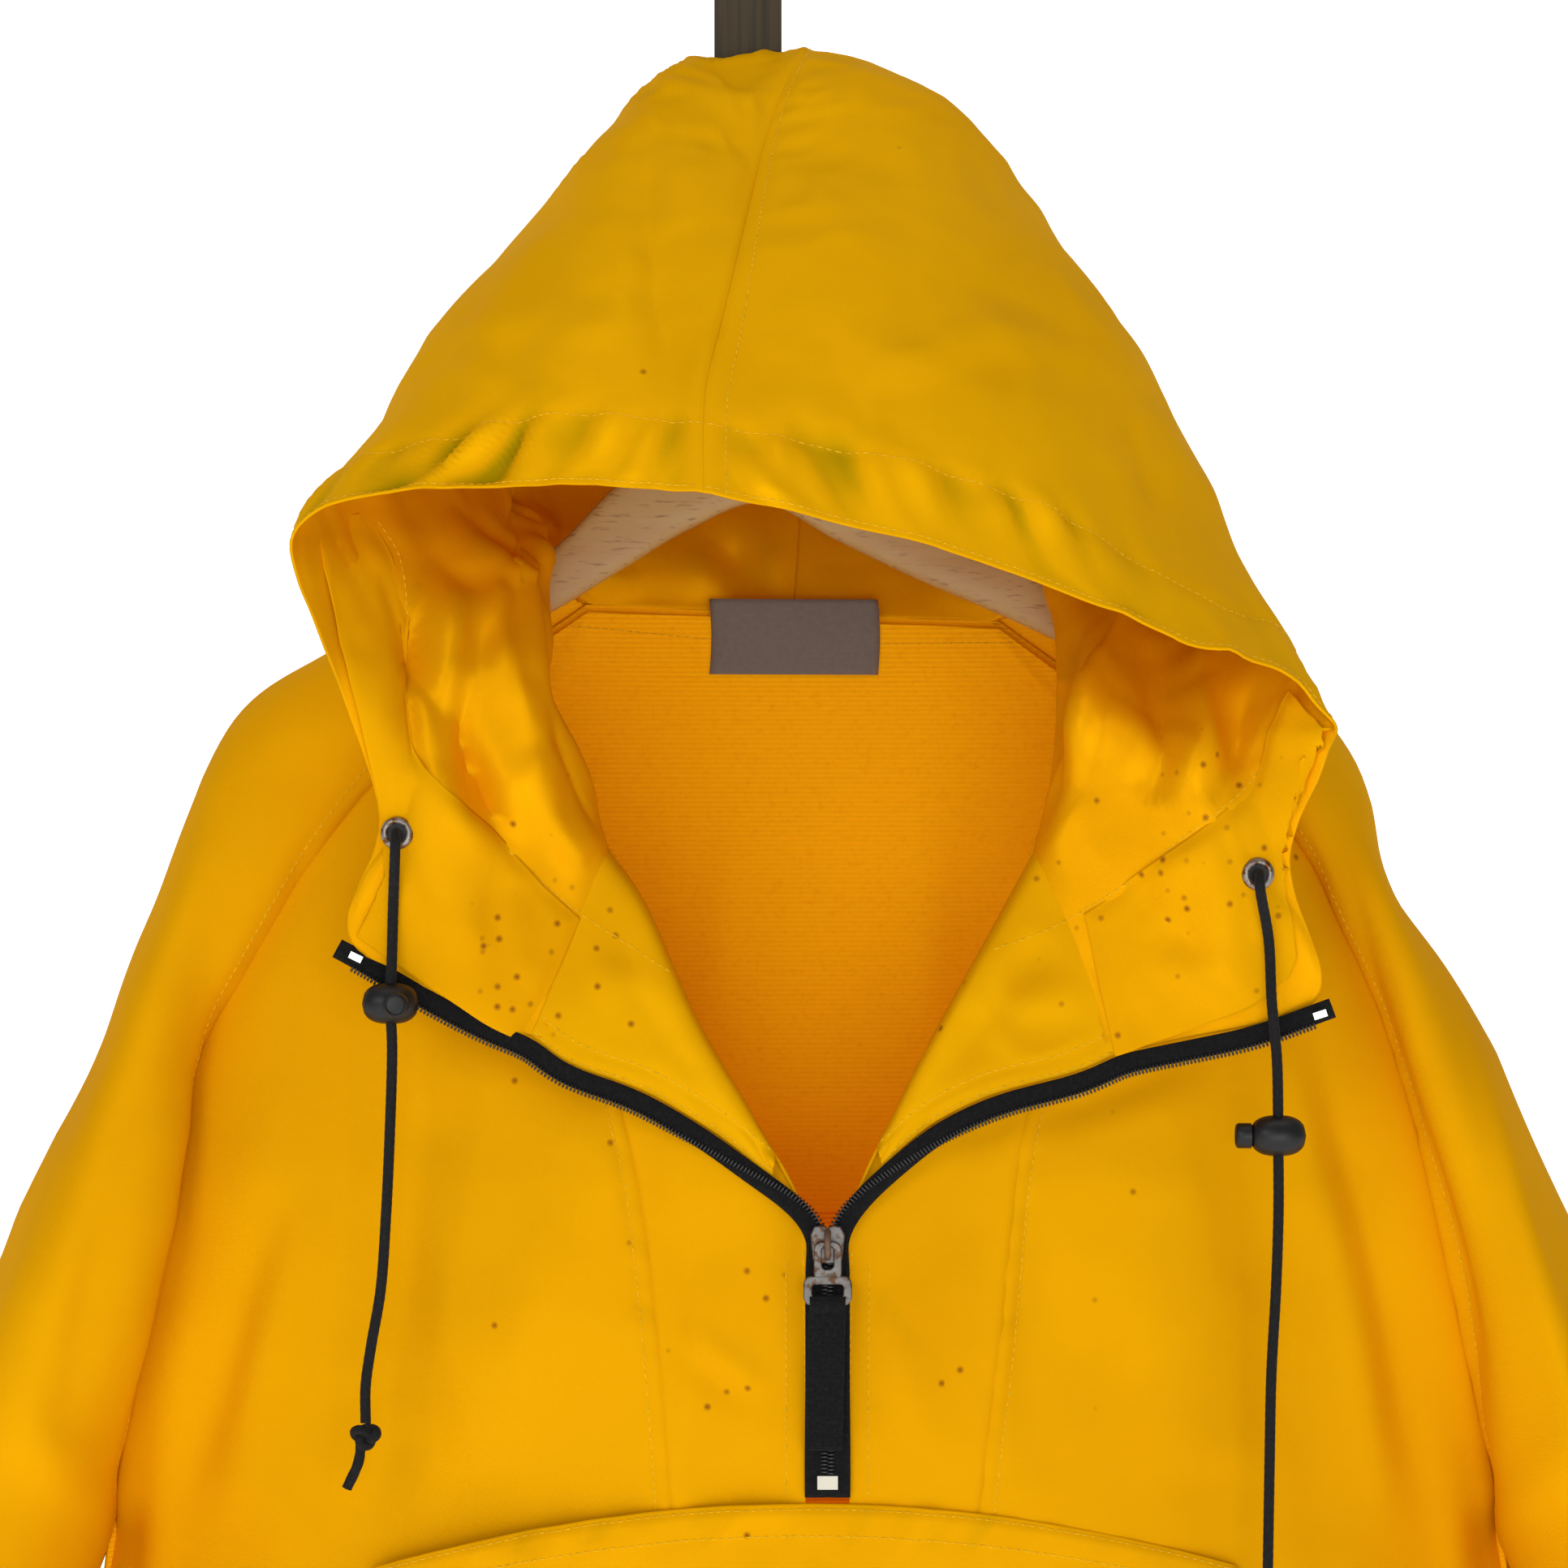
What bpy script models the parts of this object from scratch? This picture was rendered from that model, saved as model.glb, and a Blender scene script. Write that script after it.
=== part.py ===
"""Hooded half-zip anorak pullover with raglan sleeves, hung on a wooden hanger under a flat bar.

The frame: the origin is the top of the hanging bar, +Z is up, the garment's front faces -Y, and
lengths in the tables are millimetres. LEFT and RIGHT are the viewer's, who looks along +Y.
"""

import math

import bmesh
import bpy
import numpy as np
from mathutils import Matrix, Vector

MM = 0.001

# Cloth and seams
WALL = 1.5
SEAM_GAP = 0.3
CREASE_GAP = 1.2
SIDE_GAP = 0.8
HOOD_SEAM_GAP = 0.7
HOOD_NECK_GAPS = (1.4, 1.4, 1.4, 4.0, 3.2, 1.6, 1.2)
CENTRE_X = 21.0
CURL_STEPS = (0.0, 45.0, 90.0)
NECK_GAP = 0.6
LEAST_CURL = 3.0

# Zip
TAPE_WIDTH = 6.6
TAPE_WALL = 1.2
TAPE_HALF = 4.0
ZIP_END_ROW = 5.86
FACING_END_ROW = 3.2
SLIDER_AT = (28.0, -91.6, -456.0)
SLIDER_SIZE = (10.6, 3.4, 12.0)
BRIDGE_SIZE = (3.6, 4.6, 8.0)
BRIDGE_HOLE = (2.6, 4.6)
PULLER_BAR = 1.7
PULLER_SPREAD = 4.2
PULLER_ARM = (1.8, 1.4, 13.0)
PULLER_FRAME = (15.4, 8.6)
PULLER_SLOT = (12.6, 4.6)
PULLER_LAP = 1.5
TOP_STOP = (4.6, 1.8, 2.4)
TOP_STOP_DOWN = 4.0
BOTTOM_STOP = (7.0, 1.8, 4.6)
BOTTOM_STOP_ROW = 5.75
WEBBING_WIDTH = 12.0
WEBBING_WALL = 1.0
WEBBING_LENGTH = 50.0
WEBBING_PINCH = (1.0, 6.0)

# Cords
CORD_DIAMETER = 3.5
CORD_POINTS = 24
EYELET = (5.6, 3.0, 1.4)
EYELET_LIFT = 1.0
LOCK_SIZE = (19.4, 14.6, 14.6)
LOCK_BORE = 5.4
BUTTON = (8.6, 4.2)

# Hanger and bar
HANGER_HALF = 6.0
HOOK_WIRE = 4.0
BAR_WIDTH = 24.5
BAR_WALL = 3.0
HOOK_TROUGH = 5.3
TROUGH_Z = -69.4
LIP_Z = -58.0
SLOT_MARGIN = 1.2

YELLOW = (0.80, 0.42, 0.01)
LINING_YELLOW = (0.86, 0.44, 0.01)
BLACK = (0.012, 0.012, 0.013)
GUNMETAL = (0.11, 0.10, 0.09)
SILVER = (0.75, 0.74, 0.70)
WOOD = (0.60, 0.40, 0.24)
STEEL = (0.55, 0.55, 0.54)
LABEL_GREY = (0.24, 0.23, 0.20)
BAR_GREY = (0.10, 0.10, 0.085)

# Height, half width of the torso, its depth in front of and behind the hanger's plane
TORSO = (
    (-205, 120, 36, 46),
    (-230, 138, 42, 50),
    (-250, 153, 46, 51),
    (-285, 190, 60, 52),
    (-322, 223, 70, 52),
    (-366, 239, 80, 52),
    (-440, 258, 86, 53),
    (-489, 258, 88, 54),
    (-534, 253, 88, 55),
    (-567, 250, 87, 56),
    (-640, 257, 84, 56),
    (-740, 263, 82, 55),
    (-840, 267, 82, 54),
    (-945, 271, 84, 54),
)

# Row, zip line, roll line, centre panel's seam, front raglan and side seam, then the back's seam
FRONT_LEFT = (
    # name, zip x z, roll x z, panel seam x z, front seam x z, back seam x z
    ("neck", (-75, -379), (-48, -321), (-57, -300), (-75, -246), (-57, -232)),
    ("collar", (-58, -394), (-34, -341), (-56, -330), (-112, -278), (-95, -262)),
    ("chest", (-33, -408), (-16, -381), (-49, -370), (-150, -322), (-133, -305)),
    ("open", (-2, -429), (3, -414), (-42, -409), (-177, -366), (-163, -355)),
    ("slider", (24.5, -454), (20.8, -450), (-35, -440), (-194, -398), (-186, -398)),
    ("closed", (24.5, -500), (20.8, -500), (-29, -490), (-205, -455), (-205, -455)),
    ("zip_end", (24.5, -549), (20.8, -549), (-25, -540), (-217, -512), (-217, -512)),
    ("underarm", (27.8, -585), (27.8, -585), (-22, -582), (-229, -567), (-229, -567)),
    ("waist", (27.8, -650), (27.8, -650), (-20, -650), (-236, -645), (-236, -645)),
    ("pouch", (27.8, -745), (27.8, -745), (-18, -745), (-242, -745), (-242, -745)),
    ("low", (27.8, -842), (27.8, -842), (-17, -842), (-246, -842), (-246, -842)),
    ("hem", (27.8, -934), (27.8, -934), (-16, -934), (-250, -934), (-250, -934)),
)
FRONT_RIGHT = (
    ("neck", (130, -391), (100, -322), (106, -303), (112, -255), (90, -238)),
    ("collar", (112, -399), (86, -347), (103, -335), (158, -283), (132, -270)),
    ("chest", (81, -410), (69, -377), (100, -373), (199, -320), (172, -313)),
    ("open", (57, -425), (52, -410), (96, -409), (220, -364), (205, -362)),
    ("slider", (31.5, -454), (35.2, -450), (91, -440), (232, -405), (226, -405)),
    ("closed", (31.5, -500), (35.2, -500), (86, -490), (244, -458), (244, -458)),
    ("zip_end", (31.5, -549), (35.2, -549), (80, -540), (257, -512), (257, -512)),
    ("underarm", (28.2, -585), (28.2, -585), (76, -582), (271, -567), (271, -567)),
    ("waist", (28.2, -650), (28.2, -650), (75, -650), (278, -645), (278, -645)),
    ("pouch", (28.2, -745), (28.2, -745), (74, -745), (284, -745), (284, -745)),
    ("low", (28.2, -842), (28.2, -842), (73, -842), (288, -842), (288, -842)),
    ("hem", (28.2, -934), (28.2, -934), (72, -934), (292, -934), (292, -934)),
)
UNDERARM_ROW = 7
CLOSED_ROW = 5

# How far the turned-back front stands off the chest at the roll and at the zip, row by row
LIFT_ROLL = (16, 14, 12, 8, 3, 0, 0, 0, 0, 0, 0, 0)
LIFT_ZIP = (20, 17, 13, 7, 2, 1, 1, 1, 1, 1, 1, 1)

# Row, shoulder and outer line of the sleeve x y z, its depth in front and behind
SLEEVE_LEFT = (
    ("neck", (-75, 0, -213), 36, 38),
    ("collar", (-112, 0, -231), 43, 42),
    ("chest", (-150, 0, -251), 47, 46),
    ("open", (-182, 0, -273), 50, 48),
    ("slider", (-199, -3, -304), 53, 52),
    ("closed", (-222, -10, -357), 60, 58),
    ("zip_end", (-252, -15, -428), 64, 64),
    ("underarm", (-286, -15, -505), 66, 66),
    ("upper", (-322, -15, -590), 62, 62),
    ("elbow", (-366, -12, -697), 56, 56),
    ("forearm", (-410, -10, -806), 50, 50),
    ("cuff", (-452, -8, -922), 42, 44),
)
SLEEVE_RIGHT = (
    ("neck", (112, 0, -224), 36, 38),
    ("collar", (152, 0, -244), 43, 42),
    ("chest", (190, 0, -265), 47, 46),
    ("open", (220, 0, -294), 50, 48),
    ("slider", (236, -3, -334), 53, 52),
    ("closed", (262, -10, -386), 60, 58),
    ("zip_end", (292, -15, -444), 64, 64),
    ("underarm", (324, -15, -510), 66, 66),
    ("upper", (360, -15, -592), 62, 62),
    ("elbow", (404, -12, -698), 56, 56),
    ("forearm", (448, -10, -806), 50, 50),
    ("cuff", (492, -8, -920), 42, 44),
)
# Inner line of the sleeve below the underarm x y z
INSEAM_LEFT = ((-252, 0, -632), (-285, 0, -740), (-321, 0, -850), (-356, 0, -962))
INSEAM_RIGHT = ((290, 0, -632), (324, 0, -740), (360, 0, -850), (397, 0, -962))
UNDERARM_CLEAR = (0, 0, 0, 0, 0, 0.2, 1.0, 2.6, 0, 0, 0, 0)

# Hood sections above the neckline: the front edge, casing, roll, fall, side, rear, centre seam
HOOD_LEFT = (
    ("zip_top", (-133, -100, -353), (-99, -104, -319), (-61, -92, -282), (-70, -62, -257),
     (-70, -13, -207), (-57, 45, -207), (19, 62, -199)),
    ("eyelet", (-124, -106, -311), (-98, -108, -283), (-70, -85, -252), (-80, -50, -222),
     (-85, -5, -196), (-50, 55, -184), (19, 72, -174)),
    ("side", (-137, -116, -262), (-113, -100, -253), (-87, -70, -232), (-86, -35, -207),
     (-77, 8, -186), (-37, 55, -169), (19, 72, -156)),
    ("corner", (-147, -115, -217), (-135, -95, -204), (-118, -65, -190), (-101, -30, -173),
     (-71, 8, -158), (-28, 48, -142), (19, 65, -135)),
    ("brim_low", (-103, -136, -201), (-118, -105, -179), (-113, -65, -150), (-93, -30, -133),
     (-59, 5, -117), (-22, 38, -107), (19, 55, -105)),
    ("brim_mid", (-58, -155, -200), (-66, -140, -171), (-74, -95, -126), (-63, -35, -83),
     (-38, -2, -57), (-10, 22, -53), (19, 34, -66)),
    ("brim_high", (-33, -163, -202), (-38, -148, -169), (-40, -120, -126), (-36, -75, -84),
     (-27, -30, -50), (-12, 4, -35), (19, 20, -42)),
    ("top", (-13, -170, -204), (-13, -150, -171), (-8, -130, -146), (-3, -110, -122),
     (2, -80, -96), (9, -40, -62), (19, 3, -31)),
)
HOOD_RIGHT = (
    ("zip_top", (196, -100, -373), (154, -104, -330), (115, -92, -283), (117, -64, -262),
     (106, -15, -214), (90, 45, -212), (19, 62, -199)),
    ("eyelet", (188, -106, -325), (154, -108, -297), (124, -85, -262), (133, -50, -230),
     (135, -5, -203), (93, 55, -186), (19, 72, -174)),
    ("side", (197, -114, -292), (169, -92, -275), (150, -60, -248), (141, -25, -219),
     (124, 10, -194), (78, 55, -171), (19, 72, -156)),
    ("corner", (197, -114, -277), (184, -95, -249), (169, -65, -221), (150, -30, -195),
     (118, 8, -174), (72, 48, -152), (19, 65, -135)),
    ("brim_low", (146, -140, -252), (160, -105, -226), (150, -65, -179), (135, -32, -150),
     (106, 4, -132), (64, 38, -113), (19, 55, -105)),
    ("brim_mid", (86, -161, -229), (100, -140, -193), (114, -88, -141), (105, -32, -97),
     (82, -4, -69), (48, 22, -59), (19, 34, -66)),
    ("brim_high", (33, -171, -214), (41, -153, -178), (50, -122, -137), (56, -78, -96),
     (59, -30, -58), (41, 4, -40), (19, 20, -42)),
    ("top", (-13, -170, -204), (-13, -150, -171), (-8, -130, -146), (-3, -110, -122),
     (2, -80, -96), (9, -40, -62), (19, 3, -31)),
)

# Folds of the torso: from x z to x z, half width, depth towards the back
FRONT_FOLDS = (
    ((-120, -380), (-150, -560), 24, 5),
    ((-178, -430), (-205, -640), 20, 6),
    ((-70, -440), (-95, -540), 18, -3),
    ((170, -390), (205, -580), 24, 5),
    ((140, -420), (150, -540), 20, -4),
    ((232, -470), (252, -700), 18, 6),
)
BACK_FOLDS = (
    ((-40, -300), (-90, -560), 26, -6),
    ((80, -300), (130, -600), 26, -7),
    ((20, -420), (30, -860), 30, -8),
    ((-150, -480), (-170, -880), 28, -7),
    ((190, -500), (205, -860), 24, -6),
    ((-95, -620), (-80, -900), 22, 5),
)

# Pouch: height, left side x, right side x
POUCH_SAG = 25.0
POUCH_HALF = 150.0
POUCH = ((-545, -128, 170), (-640, -160, 202), (-720, -188, 230), (-815, -192, 234), (-912, -194, 236))
POUCH_OFF = 2.3

# Lining: the last body row that it reaches, and its distance inside the back
LINING_TOP_ROW = 0.08
LINING_ROWS = 5.0
LINING_OFF = 2.4
LABEL = (62.0, 28.0)
LABEL_UP = 6.5
LABEL_OFF = 2.1
HANGER_CORNER = 1.6
SOCKET = (-185.0, -160.0)

# Hanger: x, top edge, bottom edge
HANGER = (
    (-178, -273.0, -288.0),
    (-150, -252.9, -273.0),
    (-112, -232.9, -254.0),
    (-75, -217.0, -238.5),
    (-47, -190.0, -222.0),
    (-22, -172.0, -207.0),
    (5, -165.0, -197.0),
    (32, -174.0, -210.5),
    (60, -192.0, -224.0),
    (88, -211.0, -236.0),
    (112, -226.0, -247.0),
    (152, -246.0, -266.0),
    (190, -267.6, -284.0),
    (206, -280.0, -293.0),
)
HOOK_ROUTE = (
    (5, -166), (5, -142), (6, -126), (11, -112), (18, -99), (22, -86), (20, -75), (12.5, -66),
    (0, -63), (-12.5, -66), (-20, -75), (-22, -86), (-20, -95), (-14, -103),
)

# Cords: x y z from the eyelet to the knot, then the tail's end
CORD_LEFT = (
    (-119, -107.5, -340), (-119.5, -107, -358), (-120, -107, -373), (-119.5, -106, -390),
    (-120.5, -104, -418), (-122, -101, -445), (-124, -98, -470), (-127.5, -96, -490),
    (-129.5, -95, -504), (-129.5, -95, -516.5),
)
TAIL_LEFT = ((-129.5, -95, -523.5), (-132, -94.5, -530), (-136, -94, -539))
CORD_RIGHT = (
    (177, -107.5, -352), (178, -107, -372), (180, -105, -392), (180.5, -104, -410),
    (180.5, -103.4, -418), (180.8, -102.6, -430), (181, -100.5, -446), (180.5, -98, -470),
    (179, -97, -500), (178.5, -96, -530), (178, -95, -568), (177.5, -95, -596),
)
TAIL_RIGHT = ((177.5, -95, -603), (179, -95, -610), (182, -94.5, -618))
LOCKS = {"left": ((-120, -107, -373), "front"), "right": ((180.5, -103.3, -418), "side")}
EYELET_SPOTS = {"left": (0.0325, 0.205), "right": (0.0375, 0.2)}
CORD_OUT = 4.6
CORD_OVER = 6.4
CORD_TURN = 6.0
KNOT_RADII = (1.7, 3.6, 4.3, 3.7, 1.75)
KNOT_LENGTH = 7.0


# ---------------------------------------------------------------- curves and tables


def spline(points, at):
    """Smooth curve through points, one even span between neighbours; at counts the spans."""
    p = np.asarray(points, float)
    spans = len(p) - 1
    s = np.clip(np.atleast_1d(np.asarray(at, float)), 0.0, spans)
    i = np.minimum(s.astype(int), spans - 1)
    f = (s - i).reshape((-1,) + (1,) * (p.ndim - 1))
    ends = np.concatenate([[2 * p[0] - p[1]], p, [2 * p[-1] - p[-2]]])
    a, b, c, d = ends[i], ends[i + 1], ends[i + 2], ends[i + 3]
    bend = (2 * a - 5 * b + 4 * c - d) * f**2 + (3 * b - a - 3 * c + d) * f**3
    return 0.5 * (2 * b + (c - a) * f + bend)


def column(table, index):
    return [row[index] for row in table]


def torso(z):
    """Half width, front depth and back depth of the torso at height z."""
    heights = [-row[0] for row in TORSO]
    return [np.interp(-np.asarray(z, float), heights, column(TORSO, k)) for k in (1, 2, 3)]


def fold_depth(x, z, folds):
    """How far the folds push the cloth back at x, z."""
    total = np.zeros_like(np.asarray(x, float))
    for start, end, half, depth in folds:
        along = np.array(end, float) - np.array(start, float)
        length = np.hypot(*along)
        along /= length
        run = ((x - start[0]) * along[0] + (z - start[1]) * along[1]) / length
        off = (x - start[0]) * along[1] - (z - start[1]) * along[0]
        fade = np.clip(1.0 - (2 * run - 1.0) ** 2, 0.0, 1.0)
        total = total + depth * fade * np.exp(-((off / half) ** 2))
    return total


def front_y(x, z):
    half, depth, _ = torso(z)
    share = np.clip((np.asarray(x, float) - CENTRE_X) / half, -1.0, 1.0)
    round_off = np.sqrt(np.clip(1.0 - share**2, 0.0, 1.0))
    return -depth * round_off + fold_depth(x, z, FRONT_FOLDS) * np.clip(3 * round_off, 0, 1)


def back_y(x, z):
    half, _, depth = torso(z)
    share = np.clip((np.asarray(x, float) - CENTRE_X) / half, -1.0, 1.0)
    round_off = np.sqrt(np.clip(1.0 - share**2, 0.0, 1.0))
    return depth * round_off - fold_depth(x, z, BACK_FOLDS) * np.clip(3 * round_off, 0, 1)


# ---------------------------------------------------------------- meshes


def material(name, colour, roughness, metallic=0.0):
    found = bpy.data.materials.get(name)
    if found:
        return found
    made = bpy.data.materials.new(name)
    made.use_nodes = True
    shader = made.node_tree.nodes["Principled BSDF"]
    shader.inputs["Base Color"].default_value = (*colour, 1.0)
    shader.inputs["Roughness"].default_value = roughness
    shader.inputs["Metallic"].default_value = metallic
    made.diffuse_color = (*colour, 1.0)
    return made


def add_mesh(name, points, faces, finish):
    """An object from points in millimetres, with its faces turned outwards."""
    mesh = bpy.data.meshes.new(name)
    mesh.from_pydata([Vector(p) * MM for p in points], [], faces)
    shape = bmesh.new()
    shape.from_mesh(mesh)
    bmesh.ops.recalc_face_normals(shape, faces=shape.faces)
    shape.to_mesh(mesh)
    shape.free()
    mesh.shade_smooth()
    mesh.set_sharp_from_angle(angle=math.radians(40))
    mesh.materials.append(finish)
    made = bpy.data.objects.new(name, mesh)
    bpy.context.scene.collection.objects.link(made)
    return made


def normals_of(grid):
    down, across = np.gradient(grid, axis=0), np.gradient(grid, axis=1)
    normal = np.cross(across, down)
    return normal / np.maximum(np.linalg.norm(normal, axis=2, keepdims=True), 1e-9)


def retract(grid, edge, distance):
    """Moves one edge of the grid in towards the next line by a distance."""
    lines = {"top": (0, 1), "bottom": (-1, -2)}
    sides = {"start": (0, 1), "end": (-1, -2)}
    if edge in lines:
        last, inner = grid[lines[edge][0]], grid[lines[edge][1]]
    else:
        last, inner = grid[:, sides[edge][0]], grid[:, sides[edge][1]]
    step = inner - last
    step /= np.maximum(np.linalg.norm(step, axis=-1, keepdims=True), 1e-9)
    last += step * distance


def wall_faces(rows, cols):
    """Quads of a closed wall: outer sheet, inner sheet, and the rim between them."""
    count = rows * cols
    at = lambda r, c: r * cols + c
    faces = []
    for r in range(rows - 1):
        for c in range(cols - 1):
            quad = (at(r, c), at(r, c + 1), at(r + 1, c + 1), at(r + 1, c))
            faces.append(quad)
            faces.append(tuple(count + v for v in reversed(quad)))
    rim = [at(0, c) for c in range(cols)]
    rim += [at(r, cols - 1) for r in range(1, rows)]
    rim += [at(rows - 1, c) for c in range(cols - 2, -1, -1)]
    rim += [at(r, 0) for r in range(rows - 2, 0, -1)]
    for k, v in enumerate(rim):
        w = rim[(k + 1) % len(rim)]
        faces.append((v, count + v, count + w, w))
    return faces


def cloth(name, grid, finish, wall=WALL, flat_seam=None):
    """A closed wall of cloth around a grid of points; flat_seam keeps an edge's normals in YZ."""
    normal = normals_of(grid)
    for line in flat_seam or ():
        normal[line][..., 0] = 0.0
        normal[line] /= np.linalg.norm(normal[line], axis=-1, keepdims=True)
    if flat_seam:
        normal[-1, -1] = normal[-1, -2] + normal[-2, -1]
        normal[-1, -1] /= np.linalg.norm(normal[-1, -1])
    outer, inner = grid + normal * wall / 2, grid - normal * wall / 2
    points = np.concatenate([outer.reshape(-1, 3), inner.reshape(-1, 3)])
    return add_mesh(name, points, wall_faces(*grid.shape[:2]), finish)


def tube(name, route, radii, finish, sides=8):
    """A closed tube along a route, with its own radius at each point."""
    route = [Vector(p) for p in route]
    points, faces = [], []
    for k, at in enumerate(route):
        ahead = route[min(k + 1, len(route) - 1)] - route[max(k - 1, 0)]
        turn = ahead.to_track_quat("Z", "Y")
        for j in range(sides):
            angle = 2 * math.pi * j / sides
            spoke = Vector((math.cos(angle), math.sin(angle), 0)) * radii[k]
            points.append(at + turn @ spoke)
    for k in range(len(route) - 1):
        for j in range(sides):
            a, b = k * sides + j, k * sides + (j + 1) % sides
            faces.append((a, b, b + sides, a + sides))
    faces.append(tuple(range(sides)))
    faces.append(tuple((len(route) - 1) * sides + j for j in range(sides)))
    return add_mesh(name, points, faces, finish)


def extruded(name, outline, width, finish, centre_x=0.0):
    """A closed outline of y, z points, given a width along X."""
    count = len(outline)
    points = [(centre_x - width / 2, y, z) for y, z in outline]
    points += [(centre_x + width / 2, y, z) for y, z in outline]
    faces = [tuple(range(count)), tuple(range(2 * count - 1, count - 1, -1))]
    faces += [(k, (k + 1) % count, count + (k + 1) % count, count + k) for k in range(count)]
    return add_mesh(name, points, faces, finish)


def box_points(centre, size):
    offsets = [(x, y, z) for x in (-0.5, 0.5) for y in (-0.5, 0.5) for z in (-0.5, 0.5)]
    return [tuple(c + s * o for c, s, o in zip(centre, size, offset)) for offset in offsets]


BOX_FACES = ((0, 1, 3, 2), (4, 6, 7, 5), (0, 4, 5, 1), (2, 3, 7, 6), (0, 2, 6, 4), (1, 5, 7, 3))


def box(name, centre, size, finish):
    return add_mesh(name, box_points(centre, size), BOX_FACES, finish)


def combine(target, other, operation, solver="EXACT"):
    """A Boolean with a helper that stays out of the model."""
    other.hide_render = True
    other.display_type = "WIRE"
    change = target.modifiers.new(other.name, "BOOLEAN")
    change.operation = operation
    change.solver = solver
    change.object = other
    return target


def ribbon(name, route, width, wall, finish):
    """A flat strip that follows a route and faces the front."""
    route = np.asarray(route, float)
    along = np.gradient(route, axis=0)
    along /= np.linalg.norm(along, axis=1, keepdims=True)
    across = np.cross(along, (0.0, -1.0, 0.0))
    across /= np.linalg.norm(across, axis=1, keepdims=True)
    grid = np.stack([route - across * width / 2, route + across * width / 2], axis=1)
    return cloth(name, grid, finish, wall)


# ---------------------------------------------------------------- torso


class Side:
    """The seam lines of one half of the body, read at any row."""

    def __init__(self, label, front, sleeve, inseam, hood):
        self.label = label
        self.sign = -1.0 if label == "left" else 1.0
        self.lines = {name: np.array(column(front, k + 1), float) for k, name in enumerate(
            ("zip", "roll", "panel", "front", "back"))}
        self.outer = np.array(column(sleeve, 1), float)
        self.depths = np.array([row[2:4] for row in sleeve], float)
        self.inseam = np.array(inseam, float)
        self.hood = np.array([row[1:] for row in hood], float)

    def line(self, name, row):
        point = spline(self.lines[name], row)[0]
        if name in ("zip", "roll") and row < ZIP_END_ROW:
            middle_side = min if self.label == "left" else max
            point[0] = middle_side(point[0], self.lines[name][CLOSED_ROW][0])
        return point

    def lift(self, table, row):
        return float(spline(np.array(table, float)[:, None], row)[0, 0])


LEFT = Side("left", FRONT_LEFT, SLEEVE_LEFT, INSEAM_LEFT, HOOD_LEFT)
RIGHT = Side("right", FRONT_RIGHT, SLEEVE_RIGHT, INSEAM_RIGHT, HOOD_RIGHT)


def on_front(spot):
    return np.array([spot[0], float(front_y(spot[0], spot[1])), spot[1]])


def on_back(spot):
    return np.array([spot[0], float(back_y(spot[0], spot[1])), spot[1]])


def curl_points(side, row, towards, forward):
    """The quarter of the roll that bends away from its edge, as far as a full quarter turn."""
    edge = side.line("roll", row)
    lift = side.lift(LIFT_ROLL, row)
    reach = max(lift / 2, LEAST_CURL)
    way = towards - edge
    way = way / np.hypot(*way)
    points = []
    for degrees in CURL_STEPS:
        angle = math.radians(degrees)
        spot = edge + way * reach * (1 - math.cos(angle))
        point = on_front(spot)
        turn = math.sin(angle)
        point[1] -= lift / 2 * (1 + turn) if forward else lift / 2 * (1 - turn)
        points.append(point)
    return points


def centre_row(side, row, spans):
    """Front centre panel, from the roll or the zip to the panel's seam."""
    seam = side.line("panel", row)
    points = curl_points(side, row, seam, forward=False)
    start = points[-1][[0, 2]]
    for k in range(1, spans + 1):
        points.append(on_front(start + (seam - start) * k / spans))
    return points


def side_row(side, row, spans):
    """Front side panel, from the panel's seam to the raglan or side seam."""
    start, end = side.line("panel", row), side.line("front", row)
    return [on_front(start + (end - start) * k / spans) for k in range(spans + 1)]


def facing_row(side, row, spans):
    """Turned-back front, from the roll to the inner edge of the zip tape."""
    zip_line = side.line("zip", row)
    points = curl_points(side, row, zip_line, forward=True)
    start = points[-1][[0, 2]]
    way = start - zip_line
    end = zip_line + way / np.hypot(*way) * TAPE_HALF
    roll_lift, zip_lift = side.lift(LIFT_ROLL, row), side.lift(LIFT_ZIP, row)
    for k in range(1, spans + 1):
        point = on_front(start + (end - start) * k / spans)
        point[1] -= roll_lift + (zip_lift - roll_lift) * k / spans
        points.append(point)
    return points


def back_row(row, spans):
    left, right = LEFT.line("back", row), RIGHT.line("back", row)
    return [on_back(left + (right - left) * k / spans) for k in range(spans + 1)]


BODY_ROWS = [k / 2 for k in range(2 * UNDERARM_ROW)] + [7, 8, 9, 10, 11]


def make_fronts(side, finish):
    centre = np.array([centre_row(side, row, 3) for row in BODY_ROWS])
    retract(centre, "start", SEAM_GAP)
    retract(centre, "end", SEAM_GAP)
    middle = SLIDER_AT[0] + side.sign * SEAM_GAP / 2
    limit = np.minimum if side is LEFT else np.maximum
    centre[..., 0] = limit(centre[..., 0], middle)
    retract(centre, "top", NECK_GAP)
    flank = np.array([side_row(side, row, 8) for row in BODY_ROWS])
    retract(flank, "start", SEAM_GAP)
    armhole = slice(0, BODY_ROWS.index(UNDERARM_ROW) + 1)
    retract(flank[armhole], "end", CREASE_GAP)
    retract(flank[armhole.stop:], "end", SIDE_GAP)
    retract(flank, "top", NECK_GAP)
    cloth(f"front_centre_{side.label}", centre, finish)
    cloth(f"front_side_{side.label}", flank, finish)
    rows = np.linspace(0, FACING_END_ROW, 8)
    facing = np.array([facing_row(side, row, 3) for row in rows])
    retract(facing, "start", 2 * SEAM_GAP)
    retract(facing, "top", NECK_GAP)
    cloth(f"front_facing_{side.label}", facing, finish)


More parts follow.
